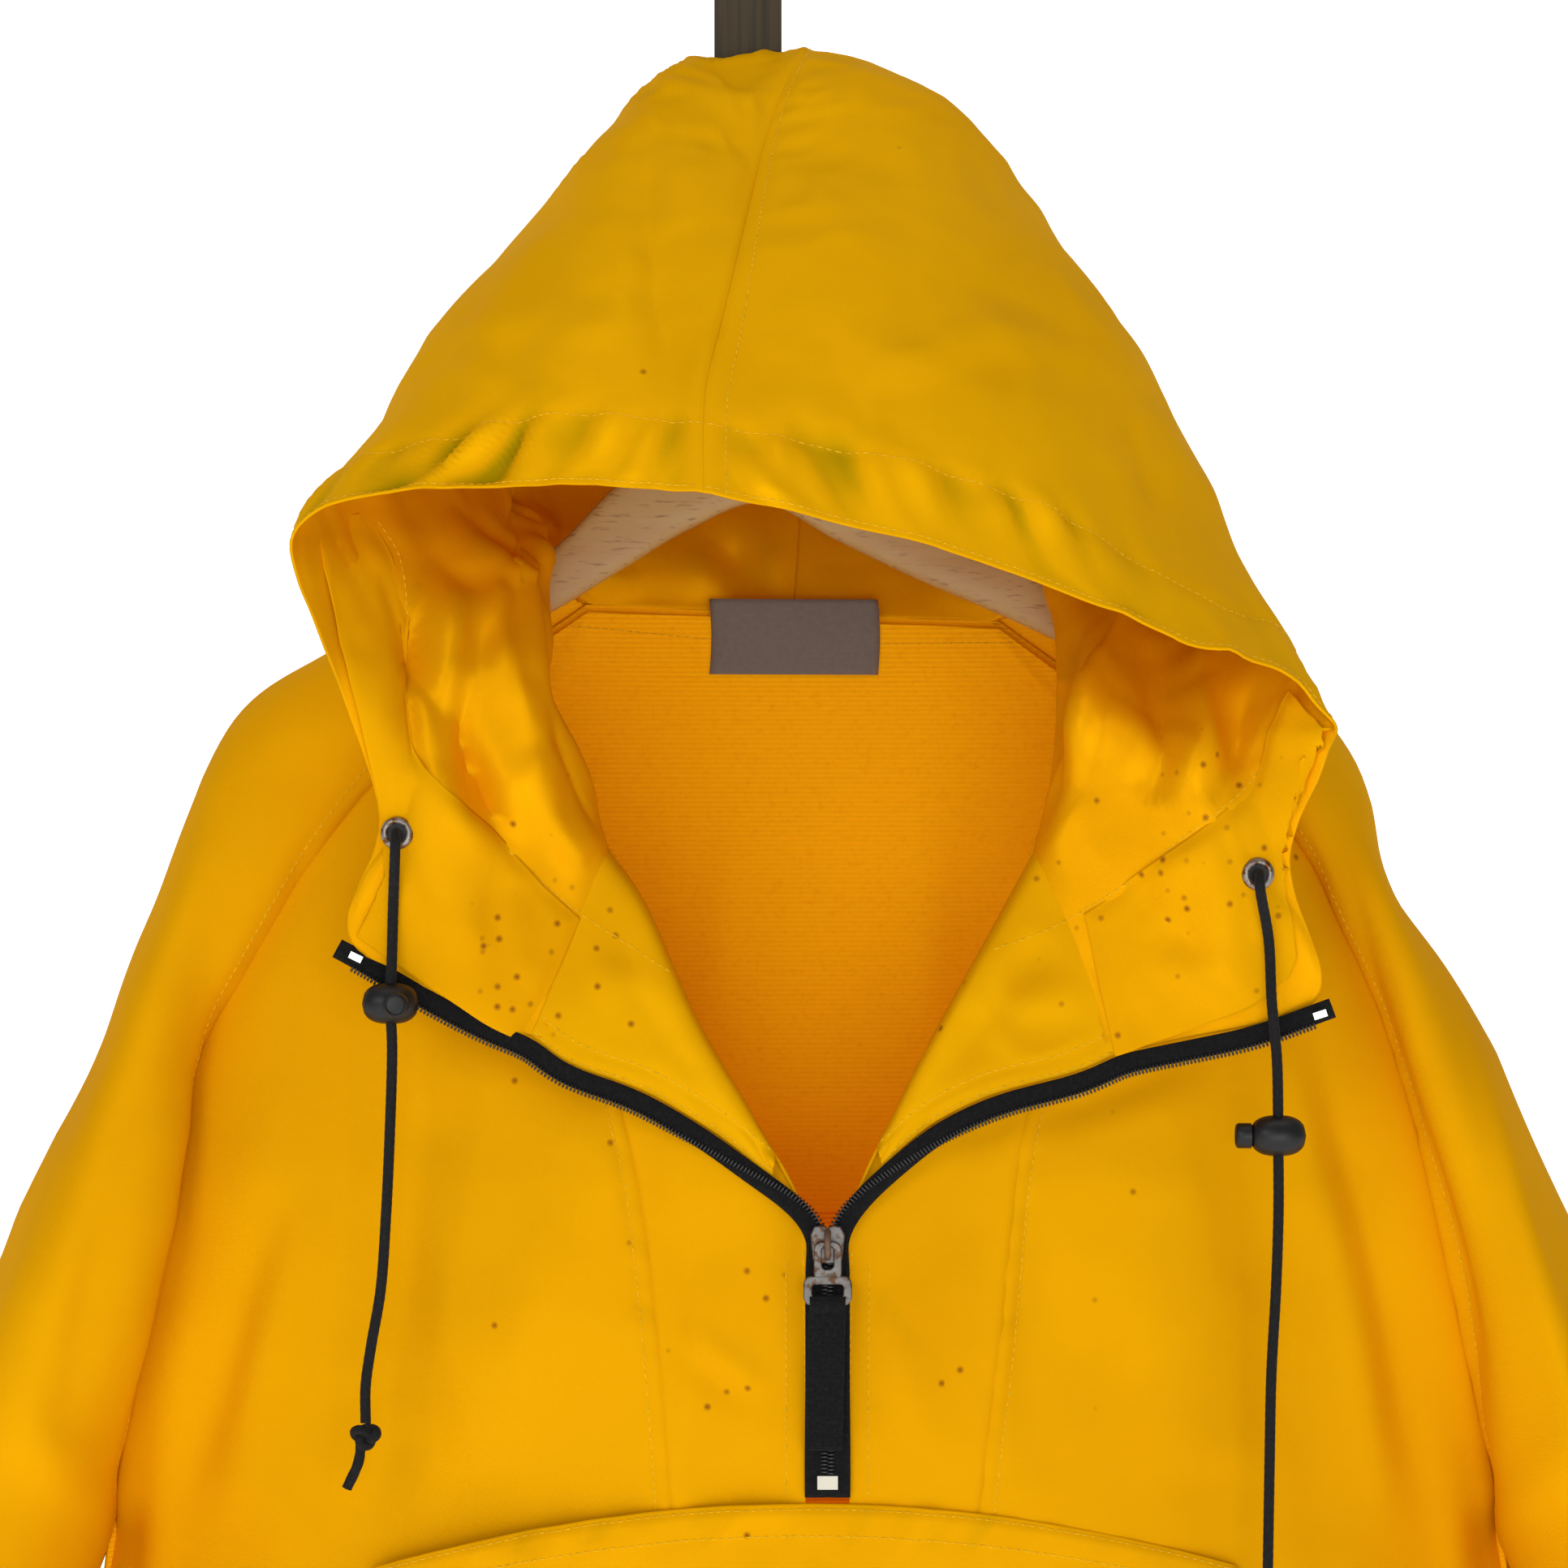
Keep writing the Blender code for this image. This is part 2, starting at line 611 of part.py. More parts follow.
def make_back(finish, lining_finish):
    grid = np.array([back_row(row, 16) for row in BODY_ROWS])
    armhole = slice(0, BODY_ROWS.index(UNDERARM_ROW) + 1)
    for edge in ("start", "end"):
        retract(grid[armhole], edge, CREASE_GAP)
        retract(grid[armhole.stop:], edge, SIDE_GAP)
    retract(grid, "top", NECK_GAP)
    cloth("back", grid, finish)
    rows = [LINING_TOP_ROW] + [row for row in BODY_ROWS[1:] if row <= LINING_ROWS]
    lining = np.array([back_row(row, 16) for row in rows])
    lining -= normals_of(lining) * LINING_OFF * np.sign(normals_of(lining)[..., 1:2])
    for edge in ("start", "end"):
        retract(lining, edge, 4.0)
    return cloth("back_lining", lining, lining_finish)


# ---------------------------------------------------------------- sleeves


def cap_angle(depth, offset):
    """Angle of the seam on the sleeve's ellipse, past a quarter turn once the ellipse is deeper."""
    return math.pi - math.asin(min(1.0, abs(offset) / depth))


def sleeve_row(side, row, spans):
    """A section of the sleeve, from its front seam over the outer line to its back seam."""
    outer = spline(side.outer, row)[0]
    depths = spline(side.depths, row)[0]
    if row <= UNDERARM_ROW:
        front, back = on_front(side.line("front", row)), on_back(side.line("back", row))
    else:
        start = on_front(side.line("front", UNDERARM_ROW))
        front = back = spline(np.vstack([start, side.inseam]), row - UNDERARM_ROW)[0]
    clear = side.lift(UNDERARM_CLEAR, row) if row <= UNDERARM_ROW else 2.6 * max(0, 8 - row)
    points = []
    half = spans // 2
    for seam, depth, way in ((front, depths[0], -1.0), (back, depths[1], 1.0)):
        seam = seam + np.array([side.sign * clear, 0.0, 0.0])
        offset = (seam[1] - outer[1]) * way
        depth = max(depth, offset + 0.01)
        angle = cap_angle(depth, offset) if offset > 0 else math.pi
        reach = (outer - seam) / (1 - math.cos(angle))
        arc = []
        for k in range(half + 1):
            turn = angle * (1 - k / half)
            point = outer - reach * (1 - math.cos(turn))
            point[1] = outer[1] + way * depth * math.sin(turn)
            if offset <= 0:
                point[1] += (seam[1] - outer[1]) * (1 - k / half) ** 2
            arc.append(point)
        points.append(arc)
    return points[0] + points[1][-2::-1]


SLEEVE_ROWS = BODY_ROWS


def make_sleeve(side, finish):
    grid = np.array([sleeve_row(side, row, 14) for row in SLEEVE_ROWS])
    armhole = slice(0, SLEEVE_ROWS.index(UNDERARM_ROW) + 1)
    for edge in ("start", "end"):
        retract(grid[armhole], edge, CREASE_GAP)
        retract(grid[armhole.stop:], edge, SEAM_GAP)
    retract(grid, "top", NECK_GAP)
    cloth(f"sleeve_{side.label}", grid, finish)


# ---------------------------------------------------------------- hood


def neckline(side):
    """The neck seam from the zip to the centre of the back, and the hood station of each point."""
    facing = facing_row(side, 0.0, 3)
    chest = centre_row(side, 0.0, 3) + side_row(side, 0.0, 8)[1:]
    shoulder = sleeve_row(side, 0.0, 14)
    back = back_row(0.0, 16)
    back = back[:9] if side is LEFT else back[:7:-1]
    pieces = (
        (facing[::-1], 0, 2),
        (chest[:5], 2, 3),
        (chest[4::3], 3, 4),
        (shoulder[::2], 4, 5),
        (back[::2], 5, 6),
    )
    points, stations = [], []
    for piece, start, end in pieces:
        steps = np.linalg.norm(np.diff(np.array(piece), axis=0), axis=1)
        share = np.concatenate([[0.0], np.cumsum(steps)]) / steps.sum()
        points += list(piece[:-1])
        stations += list(start + (end - start) * share[:-1])
    return np.array(points + [back[-1]]), np.array(stations + [6.0])


def hood_grid(side, along=2):
    """The hood panel: rows from the neckline to the top seam, columns from the edge to the back."""
    seam, stations = neckline(side)
    rows = [seam] + [spline(section, stations) for section in side.hood]
    rows = np.array(rows)
    return spline(rows, np.arange(0, (len(rows) - 1) * along + 1) / along)


def hood_spot(side, across, along):
    """A point of the hood, and the way that its inner face looks, by shares of its grid."""
    grid = hood_grid(side)
    normal = normals_of(grid)
    r, c = along * (grid.shape[0] - 1), across * (grid.shape[1] - 1)
    r0, c0 = int(r), int(c)
    fr, fc = r - r0, c - c0
    blend = lambda g: (
        (g[r0, c0] * (1 - fc) + g[r0, c0 + 1] * fc) * (1 - fr)
        + (g[r0 + 1, c0] * (1 - fc) + g[r0 + 1, c0 + 1] * fc) * fr
    )
    way = blend(normal)
    way = way / np.linalg.norm(way)
    return blend(grid), way if way[1] < 0 else -way


def make_hood(side, finish):
    grid = hood_grid(side)
    gaps = spline(np.array(HOOD_NECK_GAPS)[:, None], neckline(side)[1])
    retract(grid, "top", gaps)
    retract(grid, "bottom", HOOD_SEAM_GAP)
    retract(grid, "end", HOOD_SEAM_GAP)
    seam_lines = ((slice(None), -1), (-1, slice(None)))
    return cloth(f"hood_{side.label}", grid, finish, flat_seam=seam_lines)


# ---------------------------------------------------------------- small pieces on the cloth


def make_pouch(finish):
    rows = []
    for k in range(9):
        level = k / 2
        z, left, right = spline(np.array(POUCH, float), level)[0]
        row = []
        for share in np.linspace(0, 1, 13):
            x = left + (right - left) * share
            sag = POUCH_SAG * ((x - CENTRE_X) / POUCH_HALF) ** 2 * max(0.0, 1 - level / 2)
            row.append(on_front((x, z - sag)))
        rows.append(row)
    grid = np.array(rows)
    normal = normals_of(grid)
    grid -= normal * POUCH_OFF * np.sign(normal[..., 1:2])
    cloth("pouch_pocket", grid, finish)


def make_label(finish):
    left, right = LEFT.line("back", LINING_TOP_ROW), RIGHT.line("back", LINING_TOP_ROW)
    middle, top = (left[0] + right[0]) / 2, (left[1] + right[1]) / 2
    rows = []
    for down in np.linspace(-LABEL_UP, LABEL[1] - LABEL_UP, 4):
        row = []
        for across in np.linspace(-LABEL[0] / 2, LABEL[0] / 2, 7):
            point = on_back((middle + across, top - down))
            point[1] -= LINING_OFF + LABEL_OFF
            row.append(point)
        rows.append(row)
    cloth("neck_label", np.array(rows), finish, wall=1.0)


def zip_route(side):
    """Centre line of one zip tape, from its top in the hood to its end at the pouch."""
    grid = hood_grid(side)
    points = []
    for row in (2, 1):
        out = grid[row, 0] - grid[row, 1]
        points.append(grid[row, 0] + out / np.linalg.norm(out) * TAPE_HALF)
    points += [on_tape(side, row) for row in np.arange(0, ZIP_END_ROW - 0.1, 0.25)]
    points.append(on_tape(side, ZIP_END_ROW))
    return points


def on_tape(side, row):
    point = on_front(side.line("zip", row))
    point[1] -= side.lift(LIFT_ZIP, row)
    return point


def make_zip(tape, metal, bright, pale, webbing):
    for side in (LEFT, RIGHT):
        route = zip_route(side)
        ribbon(f"zip_tape_{side.label}", route, TAPE_WIDTH, TAPE_WALL, tape)
        along = route[1] - route[0]
        place = route[0] + along / np.linalg.norm(along) * TOP_STOP_DOWN
        place[1] = route[0][1] - (TAPE_WALL / 2 + SEAM_GAP + TOP_STOP[1] / 2)
        stop = box(f"zip_top_stop_{side.label}", (0, 0, 0), TOP_STOP, bright)
        stop.location = Vector(place) * MM
        stop.rotation_euler = (0, math.atan2(-along[2], along[0]), 0)
    end = on_tape(LEFT, BOTTOM_STOP_ROW)
    front = end[1] - TAPE_WALL / 2 - SEAM_GAP
    box("zip_bottom_stop", (SLIDER_AT[0], front - BOTTOM_STOP[1] / 2, end[2]), BOTTOM_STOP, pale)
    make_slider(metal)
    make_puller(metal, webbing)


def make_slider(finish):
    x, y, z = SLIDER_AT
    body = box("zip_slider", SLIDER_AT, SLIDER_SIZE, finish)
    front = y - SLIDER_SIZE[1] / 2
    bridge_y = front - BRIDGE_SIZE[1] / 2 + 0.4
    bridge = box("bridge_block", (x, bridge_y, z), BRIDGE_SIZE, finish)
    hole = box("bridge_hole", (x, front - BRIDGE_HOLE[0] / 2, z),
               (BRIDGE_SIZE[0] * 2, BRIDGE_HOLE[0], BRIDGE_HOLE[1]), finish)
    combine(body, bridge, "UNION")
    combine(body, hole, "DIFFERENCE")


def hinge_point():
    x, y, z = SLIDER_AT
    return (x, y - SLIDER_SIZE[1] / 2 - BRIDGE_HOLE[0] / 2, z)


def make_puller(metal, webbing):
    x, y, z = hinge_point()
    reach = PULLER_SPREAD + PULLER_ARM[0] / 2
    bar = tube("zip_puller", [(x - reach, y, z), (x + reach, y, z)],
               (PULLER_BAR / 2, PULLER_BAR / 2), metal, sides=10)
    for name, way in (("arm_a", -1), ("arm_b", 1)):
        arm = box(name, (x + way * PULLER_SPREAD, y, z - PULLER_ARM[2] / 2 + 0.5), PULLER_ARM, metal)
        combine(bar, arm, "UNION")
    ring_z = z - PULLER_ARM[2] - PULLER_FRAME[1] / 2 + PULLER_LAP
    ring = box("ring_block", (x, y, ring_z), (PULLER_FRAME[0], PULLER_ARM[1], PULLER_FRAME[1]), metal)
    slot = box("ring_slot", (x, y, ring_z), (PULLER_SLOT[0], 6.0, PULLER_SLOT[1]), metal)
    combine(bar, ring, "UNION")
    combine(bar, slot, "DIFFERENCE")
    low = ring_z - PULLER_FRAME[1] / 2
    rail_top = ring_z - PULLER_SLOT[1] / 2
    half = PULLER_ARM[1] / 2 + SEAM_GAP
    joined = SEAM_GAP / 2
    outer, inner = [], []
    end = low - WEBBING_LENGTH
    wide, narrow = (low - depth for depth in WEBBING_PINCH)
    for way in (-1, 1):
        inner.append([(y + way * joined, end), (y + way * joined, narrow),
                      (y + way * half, wide), (y + way * half, rail_top + SEAM_GAP)])
        outer.append([(y + way * (joined + WEBBING_WALL), end),
                      (y + way * (joined + WEBBING_WALL), narrow),
                      (y + way * (half + WEBBING_WALL), wide),
                      (y + way * (half + WEBBING_WALL), rail_top + SEAM_GAP + WEBBING_WALL)])
    outline = outer[0] + outer[1][::-1] + inner[1] + inner[0][::-1]
    extruded("pull_webbing", outline, WEBBING_WIDTH, webbing, centre_x=x)


# ---------------------------------------------------------------- cords


def make_eyelet(side, finish):
    spot, way = hood_spot(side, *EYELET_SPOTS[side.label])
    outer, inner, height = EYELET
    seat = spot + way * (WALL / 2 + EYELET_LIFT)
    turn = Vector(way).to_track_quat("Z", "Y")
    count = 20
    section = ((outer, 0.0), (outer - 0.5, height), (inner + 0.5, height), (inner, 0.0))
    size = len(section)
    points, faces = [], []
    for k in range(count):
        angle = 2 * math.pi * k / count
        for radius, rise in section:
            local = Vector((radius * math.cos(angle), radius * math.sin(angle), rise))
            points.append(Vector(seat) + turn @ local)
    for k in range(count):
        for j in range(size):
            a, b = k * size + j, k * size + (j + 1) % size
            c, d = ((k + 1) % count) * size + (j + 1) % size, ((k + 1) % count) * size + j
            faces.append((a, b, c, d))
    add_mesh(f"eyelet_{side.label}", points, faces, finish)
    return spot, way


def make_cord(side, route, tail, finish):
    spot, way = make_eyelet(side, material("eyelet_nickel", GUNMETAL, 0.35, 0.9))
    start = spot + way * (WALL / 2 + EYELET_LIFT)
    ahead = spot + way * CORD_OUT + (0, 0, -CORD_TURN / 10)
    over = spot + way * CORD_OVER + (0, 0, -CORD_TURN)
    points = np.vstack([start, ahead, over, np.array(route, float)])
    smooth = spline(points, np.linspace(0, len(points) - 1, CORD_POINTS))
    curve = bpy.data.curves.new(f"drawcord_{side.label}", "CURVE")
    curve.dimensions = "3D"
    curve.bevel_depth = CORD_DIAMETER / 2 * MM
    curve.bevel_resolution = 2
    curve.use_fill_caps = True
    line = curve.splines.new("POLY")
    line.points.add(len(smooth) - 1)
    for point, place in zip(line.points, smooth):
        point.co = (*(place * MM), 1.0)
    curve.materials.append(finish)
    bpy.context.scene.collection.objects.link(bpy.data.objects.new(curve.name, curve))
    last = Vector(smooth[-1])
    down = (last - Vector(smooth[-2])).normalized()
    gap = SEAM_GAP + 0.1
    route = [last + down * (gap + KNOT_LENGTH * k / 4) for k in range(5)]
    route += [Vector(p) for p in tail[1:]]
    radii = list(KNOT_RADII) + [CORD_DIAMETER / 2] * (len(tail) - 1)
    tube(f"knot_{side.label}", route, radii, finish)


def make_lock(side, finish, button_finish):
    centre, button_way = LOCKS[side.label]
    bpy.ops.mesh.primitive_uv_sphere_add(segments=16, ring_count=9, radius=0.5 * MM)
    lock = bpy.context.object
    lock.name = lock.data.name = f"cord_lock_{side.label}"
    lock.data.transform(Matrix.Diagonal((*LOCK_SIZE, 1.0)))
    lock.location = Vector(centre) * MM
    lock.data.materials.append(finish)
    lock.data.shade_smooth()
    bore = tube(f"bore_{side.label}", [Vector(centre) + Vector((0, 0, h)) for h in (-15, 15)],
                (LOCK_BORE / 2, LOCK_BORE / 2), finish, sides=12)
    combine(lock, bore, "DIFFERENCE")
    if button_way == "front":
        start, way = Vector(centre) + Vector((2.6, -LOCK_SIZE[1] / 2 - 0.1, -0.2)), Vector((0.0, -1, 0))
    else:
        start, way = Vector(centre) + Vector((-LOCK_SIZE[0] / 2 - 0.4, 0, 0)), Vector((-1.0, 0, 0))
    radius, length = BUTTON[0] / 2, BUTTON[1]
    tube(f"lock_button_{side.label}", [start, start + way * length * 0.8, start + way * length],
         (radius, radius, radius - 0.8), button_finish, sides=14)


# ---------------------------------------------------------------- hanger and bar


def make_hanger(wood, steel):
    points, faces = [], []
    corner = HANGER_CORNER
    section = ((-1, 1, corner, 0), (-1, 1, 0, -corner), (-1, -1, 0, corner), (-1, -1, corner, 0),
               (1, -1, -corner, 0), (1, -1, 0, corner), (1, 1, 0, -corner), (1, 1, -corner, 0))
    for x, top, bottom in HANGER:
        for across, up, dy, dz in section:
            points.append((x, across * HANGER_HALF + dy, (top if up > 0 else bottom) + dz))
    size = len(section)
    for k in range(len(HANGER) - 1):
        for j in range(size):
            a, b = k * size + j, k * size + (j + 1) % size
            faces.append((a, b, b + size, a + size))
    faces.append(tuple(range(size)))
    faces.append(tuple((len(HANGER) - 1) * size + j for j in range(size)))
    body = add_mesh("hanger", points, faces, wood)
    x = HOOK_ROUTE[0][0]
    socket = tube("hook_socket", [(x, 0, z) for z in SOCKET],
                  (HOOK_WIRE / 2 + SEAM_GAP,) * 2, wood, sides=12)
    combine(body, socket, "DIFFERENCE")
    route = [(x, 0, SOCKET[0] + SEAM_GAP)] + [(x, 0, z) for x, z in HOOK_ROUTE]
    smooth = spline(np.array(route, float), np.linspace(0, len(route) - 1, 29))
    tube("hanger_hook", smooth, [HOOK_WIRE / 2] * len(smooth), steel)


def make_bar(finish):
    """The flat bar: its top is the origin, and its lower end turns forward and up to a hook."""
    inner, outer = HOOK_TROUGH, HOOK_TROUGH + BAR_WALL
    centre_z = TROUGH_Z + inner
    turns = [math.radians(a) for a in range(0, 181, 20)]
    outline = [(outer, 0.0), (inner, 0.0)]
    outline += [(inner * math.cos(t), centre_z - inner * math.sin(t)) for t in turns]
    outline += [(-inner, LIP_Z), (-outer, LIP_Z)]
    outline += [(outer * math.cos(t), centre_z - outer * math.sin(t)) for t in reversed(turns)]
    return extruded("hanging_bar", outline, BAR_WIDTH, finish)


def cut_bar_slot(hood):
    """The narrow slot at the crown through which the bar enters the hood."""
    middle = HOOK_TROUGH + BAR_WALL / 2
    size = (BAR_WIDTH + 2 * SLOT_MARGIN, BAR_WALL + 2 * SLOT_MARGIN, 60.0)
    slot = box("bar_slot", (0, middle, -35.0), size, hood.data.materials[0])
    combine(hood, slot, "DIFFERENCE", solver="MANIFOLD")


# ---------------------------------------------------------------- the whole


def main():
    for old in list(bpy.data.objects):
        bpy.data.objects.remove(old, do_unlink=True)
    shell = material("yellow_cloth", YELLOW, 0.55)
    lining = material("knit_lining", LINING_YELLOW, 0.85)
    black_tape = material("black_tape", BLACK, 0.7)
    gunmetal = material("gunmetal", GUNMETAL, 0.4, 0.9)
    silver = material("silver", SILVER, 0.3, 0.9)
    pale = material("pale_plastic", (0.75, 0.72, 0.6), 0.5)
    black_plastic = material("black_plastic", BLACK, 0.45)
    for side in (LEFT, RIGHT):
        make_fronts(side, shell)
        make_sleeve(side, shell)
    make_back(shell, lining)
    left_hood = make_hood(LEFT, shell)
    make_hood(RIGHT, shell)
    cut_bar_slot(left_hood)
    make_pouch(shell)
    make_label(material("label_weave", LABEL_GREY, 0.8))
    make_zip(black_tape, gunmetal, silver, pale, black_tape)
    braid = material("black_braid", BLACK, 0.8)
    make_cord(LEFT, CORD_LEFT, TAIL_LEFT, braid)
    make_cord(RIGHT, CORD_RIGHT, TAIL_RIGHT, braid)
    for side in (LEFT, RIGHT):
        make_lock(side, black_plastic, black_plastic)
    make_hanger(material("beech", WOOD, 0.5), material("steel_wire", STEEL, 0.3, 1.0))
    make_bar(material("bar_metal", BAR_GREY, 0.45, 0.6))


main()
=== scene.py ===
"""Anorak pullover on a hanger: the finish of its cloth, sewing, zip, cords, hanger and bar."""

import math

import bpy
import numpy as np
from bpy.props import FloatProperty, FloatVectorProperty, PointerProperty
from mathutils import Matrix, Vector
from mathutils.bvhtree import BVHTree


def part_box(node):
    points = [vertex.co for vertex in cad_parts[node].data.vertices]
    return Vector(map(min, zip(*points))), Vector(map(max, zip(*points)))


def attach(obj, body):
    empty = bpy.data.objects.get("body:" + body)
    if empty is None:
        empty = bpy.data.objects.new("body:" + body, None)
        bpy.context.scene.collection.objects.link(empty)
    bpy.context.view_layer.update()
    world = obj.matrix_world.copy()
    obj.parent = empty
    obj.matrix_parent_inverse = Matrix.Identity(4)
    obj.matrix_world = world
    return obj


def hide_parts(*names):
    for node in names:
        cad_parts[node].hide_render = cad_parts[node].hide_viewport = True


bl_info = {
    "name": "Hooded Anorak",
    "version": (1, 0, 0),
    "blender": (4, 5, 0),
    "location": "View3D > Sidebar > Anorak",
    "description": "Builds a hooded half-zip anorak with its sewing, zip, cords and hanger",
    "category": "Add Mesh",
}

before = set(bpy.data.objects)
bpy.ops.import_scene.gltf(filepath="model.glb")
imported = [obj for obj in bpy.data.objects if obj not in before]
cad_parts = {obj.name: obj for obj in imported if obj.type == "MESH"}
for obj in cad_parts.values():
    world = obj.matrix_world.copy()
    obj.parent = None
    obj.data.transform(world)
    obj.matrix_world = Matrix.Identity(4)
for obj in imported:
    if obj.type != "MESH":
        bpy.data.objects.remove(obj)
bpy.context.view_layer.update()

MM = 0.001
GARMENT = "garment"
PULLER = "puller"

# Camera, in metres
CAMERA_AT = (0.0131, -1.6, -0.2988)
CAMERA_SPAN = 0.5682

# Points across a panel near its seams, and how the cloth rolls under and is held there; every
# size from here on is in millimetres and every angle in degrees
SEAM_STEPS = (0.0, 0.7, 1.5, 2.5, 3.6, 4.8, 6.0, 7.2, 8.6)
SEAM_ROLL = 1.3
SEAM_ROLL_WIDTH = 1.7
HOLD_WIDTH = 10.0
FACING_STEP = 2.6
SHARP_ANGLE = 50.0

# Walls of the label and of the zip's and pull's tapes
LABEL_WALL = 0.9
TAPE_WALL = 1.1

# Stitches: their rows' distance from a seam, how far the cloth sinks there, and one thread
TOPSTITCH_OFF = 6.6
TOPSTITCH_SINK = 0.45
CASING_OFF = 27.0
STITCH_SHARES = (0.0, 0.2, 0.8, 1.0)
STITCH_WIDTH = 0.5
STITCH_LIFT = 0.5

# Cells of the uneven relief before it repeats, and the depth from which cloth is looked at
LATTICE = 32
AHEAD = -400.0

# The torso's middle, the hood's highest place, and the roll of the turned-back fronts
CENTRE_X = 21.0
HOOD_TOP = -34.0
LEAST_CURL = 3.0
CURL_STEPS = (0.0, 45.0, 90.0)
FACING_END_ROW = 3.35

# Zip: its line, its tapes and their distance from the cloth's edge, its end and its slider
ZIP_X = 28.0
TAPE_WIDTH = 6.6
TAPE_HALF = 4.0
ZIP_END_ROW = 5.86
SLIDER_AT = (ZIP_X, -91.6, -456.0)
HINGE_AT = (ZIP_X, -94.6, -456.0)

# Coil: distance between teeth, sides of one tooth, and its rings as place along it and size
TOOTH_PITCH = 1.3
TOOTH_SIDES = 6
TOOTH_RINGS = ((-1.25, 0.35), (-0.8, 0.95), (0.8, 0.95), (1.25, 0.35))

# Cords, the pull's strap, the hanger and its hook
KNOT_RADIUS = 1.75
BRAID_WAVE = 0.05
BRAID_PITCH = 6.0
STRAP_HALF = 6.4
STRAP_FOLD = 1.7
HANGER_HALF = 6.0
HANGER_ROUNDING = 0.45
HOOK_WIRE = 4.0

# Slider's outline in x and z, and its bridge in x, y and z, both from the slider's middle
SLIDER_OUTLINE = (
    (-5.3, 3.0), (-4.2, 5.6), (-1.6, 6.0), (0.0, 4.6), (1.6, 6.0), (4.2, 5.6), (5.3, 3.0),
    (4.4, -4.8), (3.4, -6.0), (-3.4, -6.0), (-4.4, -4.8),
)
BRIDGE = (
    (0.0, -1.6, 4.4), (0.0, -3.8, 3.6), (0.0, -5.2, 1.6), (0.0, -5.3, -1.2), (0.0, -3.9, -3.4),
    (0.0, -1.6, -4.4),
)

# Plates of the pull tab: name, frame node, half thickness, bevel, and for the outside and the
# hole the drop below the hinge, the size and the corner radius
PULL_PLATES = (
    ("pull_arms", ["zip_puller"], 0.8, 0.45, (5.65, (8.6, 12.9), 2.6), (4.4, (5.0, 8.6), 2.0)),
    ("pull_ring", [], 0.9, 0.5, (15.6, (15.6, 9.2), 2.6), (15.6, (11.6, 5.2), 1.6)),
)

# The rail of the ring that carries the strap, as its drop below the hinge
RAIL_DROP = 19.3

# Turned profiles as radius and height: the eyelet's ring, a dark disc of painted shade in its hole, and the
# lock's button
EYELET_PROFILE = (
    (3.0, -1.2), (3.0, 0.4), (3.4, 1.1), (4.2, 1.35), (5.0, 1.0), (5.5, 0.3), (5.6, -0.6),
)
EYELET_SHADE_DISC = (3.1, 0.75)
BUTTON_PROFILE = (
    (4.3, 0.0), (4.3, 4.2), (3.9, 5.0), (3.3, 5.2), (3.0, 4.8), (2.6, 4.7), (0.02, 4.7),
)

# Backdrop and lights, in metres: name, place, what it points at and its size
FLOOR_HALF = 6.0
BACKDROP_AT = 4.6
BACKDROP_BEND = 1.2
BACKDROP_TOP = 4.5
LIGHTS = (
    ("key", (-1.1, -2.15, 0.55), (0.0, 0.0, -0.35), (1.1, 0.9)),
    ("fill", (0.3, -2.5, -0.5), (0.0, 0.0, -0.4), (1.2, 1.0)),
    ("top", (0.1, -0.3, 1.6), (0.0, 0.0, -0.3), (1.4, 1.0)),
)

# Height, half width of the torso, its depth in front of and behind the hanger's plane
TORSO = (
    (-205, 120, 36, 46),
    (-230, 138, 42, 50),
    (-250, 153, 46, 51),
    (-285, 190, 60, 52),
    (-322, 223, 70, 52),
    (-366, 239, 80, 52),
    (-440, 258, 86, 53),
    (-489, 258, 88, 54),
    (-534, 253, 88, 55),
    (-567, 250, 87, 56),
    (-640, 257, 84, 56),
    (-740, 263, 82, 55),
    (-840, 267, 82, 54),
    (-945, 271, 84, 54),
)

# Row by row, x and z of the zip line, the roll line, the centre panel's seam, the front's raglan
# and side seam, and the back's seam
FRONT_LEFT = (
    ("neck", (-75, -379), (-48, -321), (-57, -300), (-75, -246), (-57, -232)),
    ("collar", (-58, -394), (-34, -341), (-56, -330), (-112, -278), (-95, -262)),
    ("chest", (-33, -408), (-16, -381), (-49, -370), (-150, -322), (-133, -305)),
    ("open", (-2, -429), (3, -414), (-42, -409), (-177, -366), (-163, -355)),
    ("slider", (24.5, -454), (20.8, -450), (-35, -440), (-194, -398), (-186, -398)),
    ("closed", (24.5, -500), (20.8, -500), (-29, -490), (-205, -455), (-205, -455)),
    ("zip_end", (24.5, -549), (20.8, -549), (-25, -540), (-217, -512), (-217, -512)),
    ("underarm", (27.8, -585), (27.8, -585), (-22, -582), (-229, -567), (-229, -567)),
    ("waist", (27.8, -650), (27.8, -650), (-20, -650), (-236, -645), (-236, -645)),
    ("pouch", (27.8, -745), (27.8, -745), (-18, -745), (-242, -745), (-242, -745)),
    ("low", (27.8, -842), (27.8, -842), (-17, -842), (-246, -842), (-246, -842)),
    ("hem", (27.8, -934), (27.8, -934), (-16, -934), (-250, -934), (-250, -934)),
)
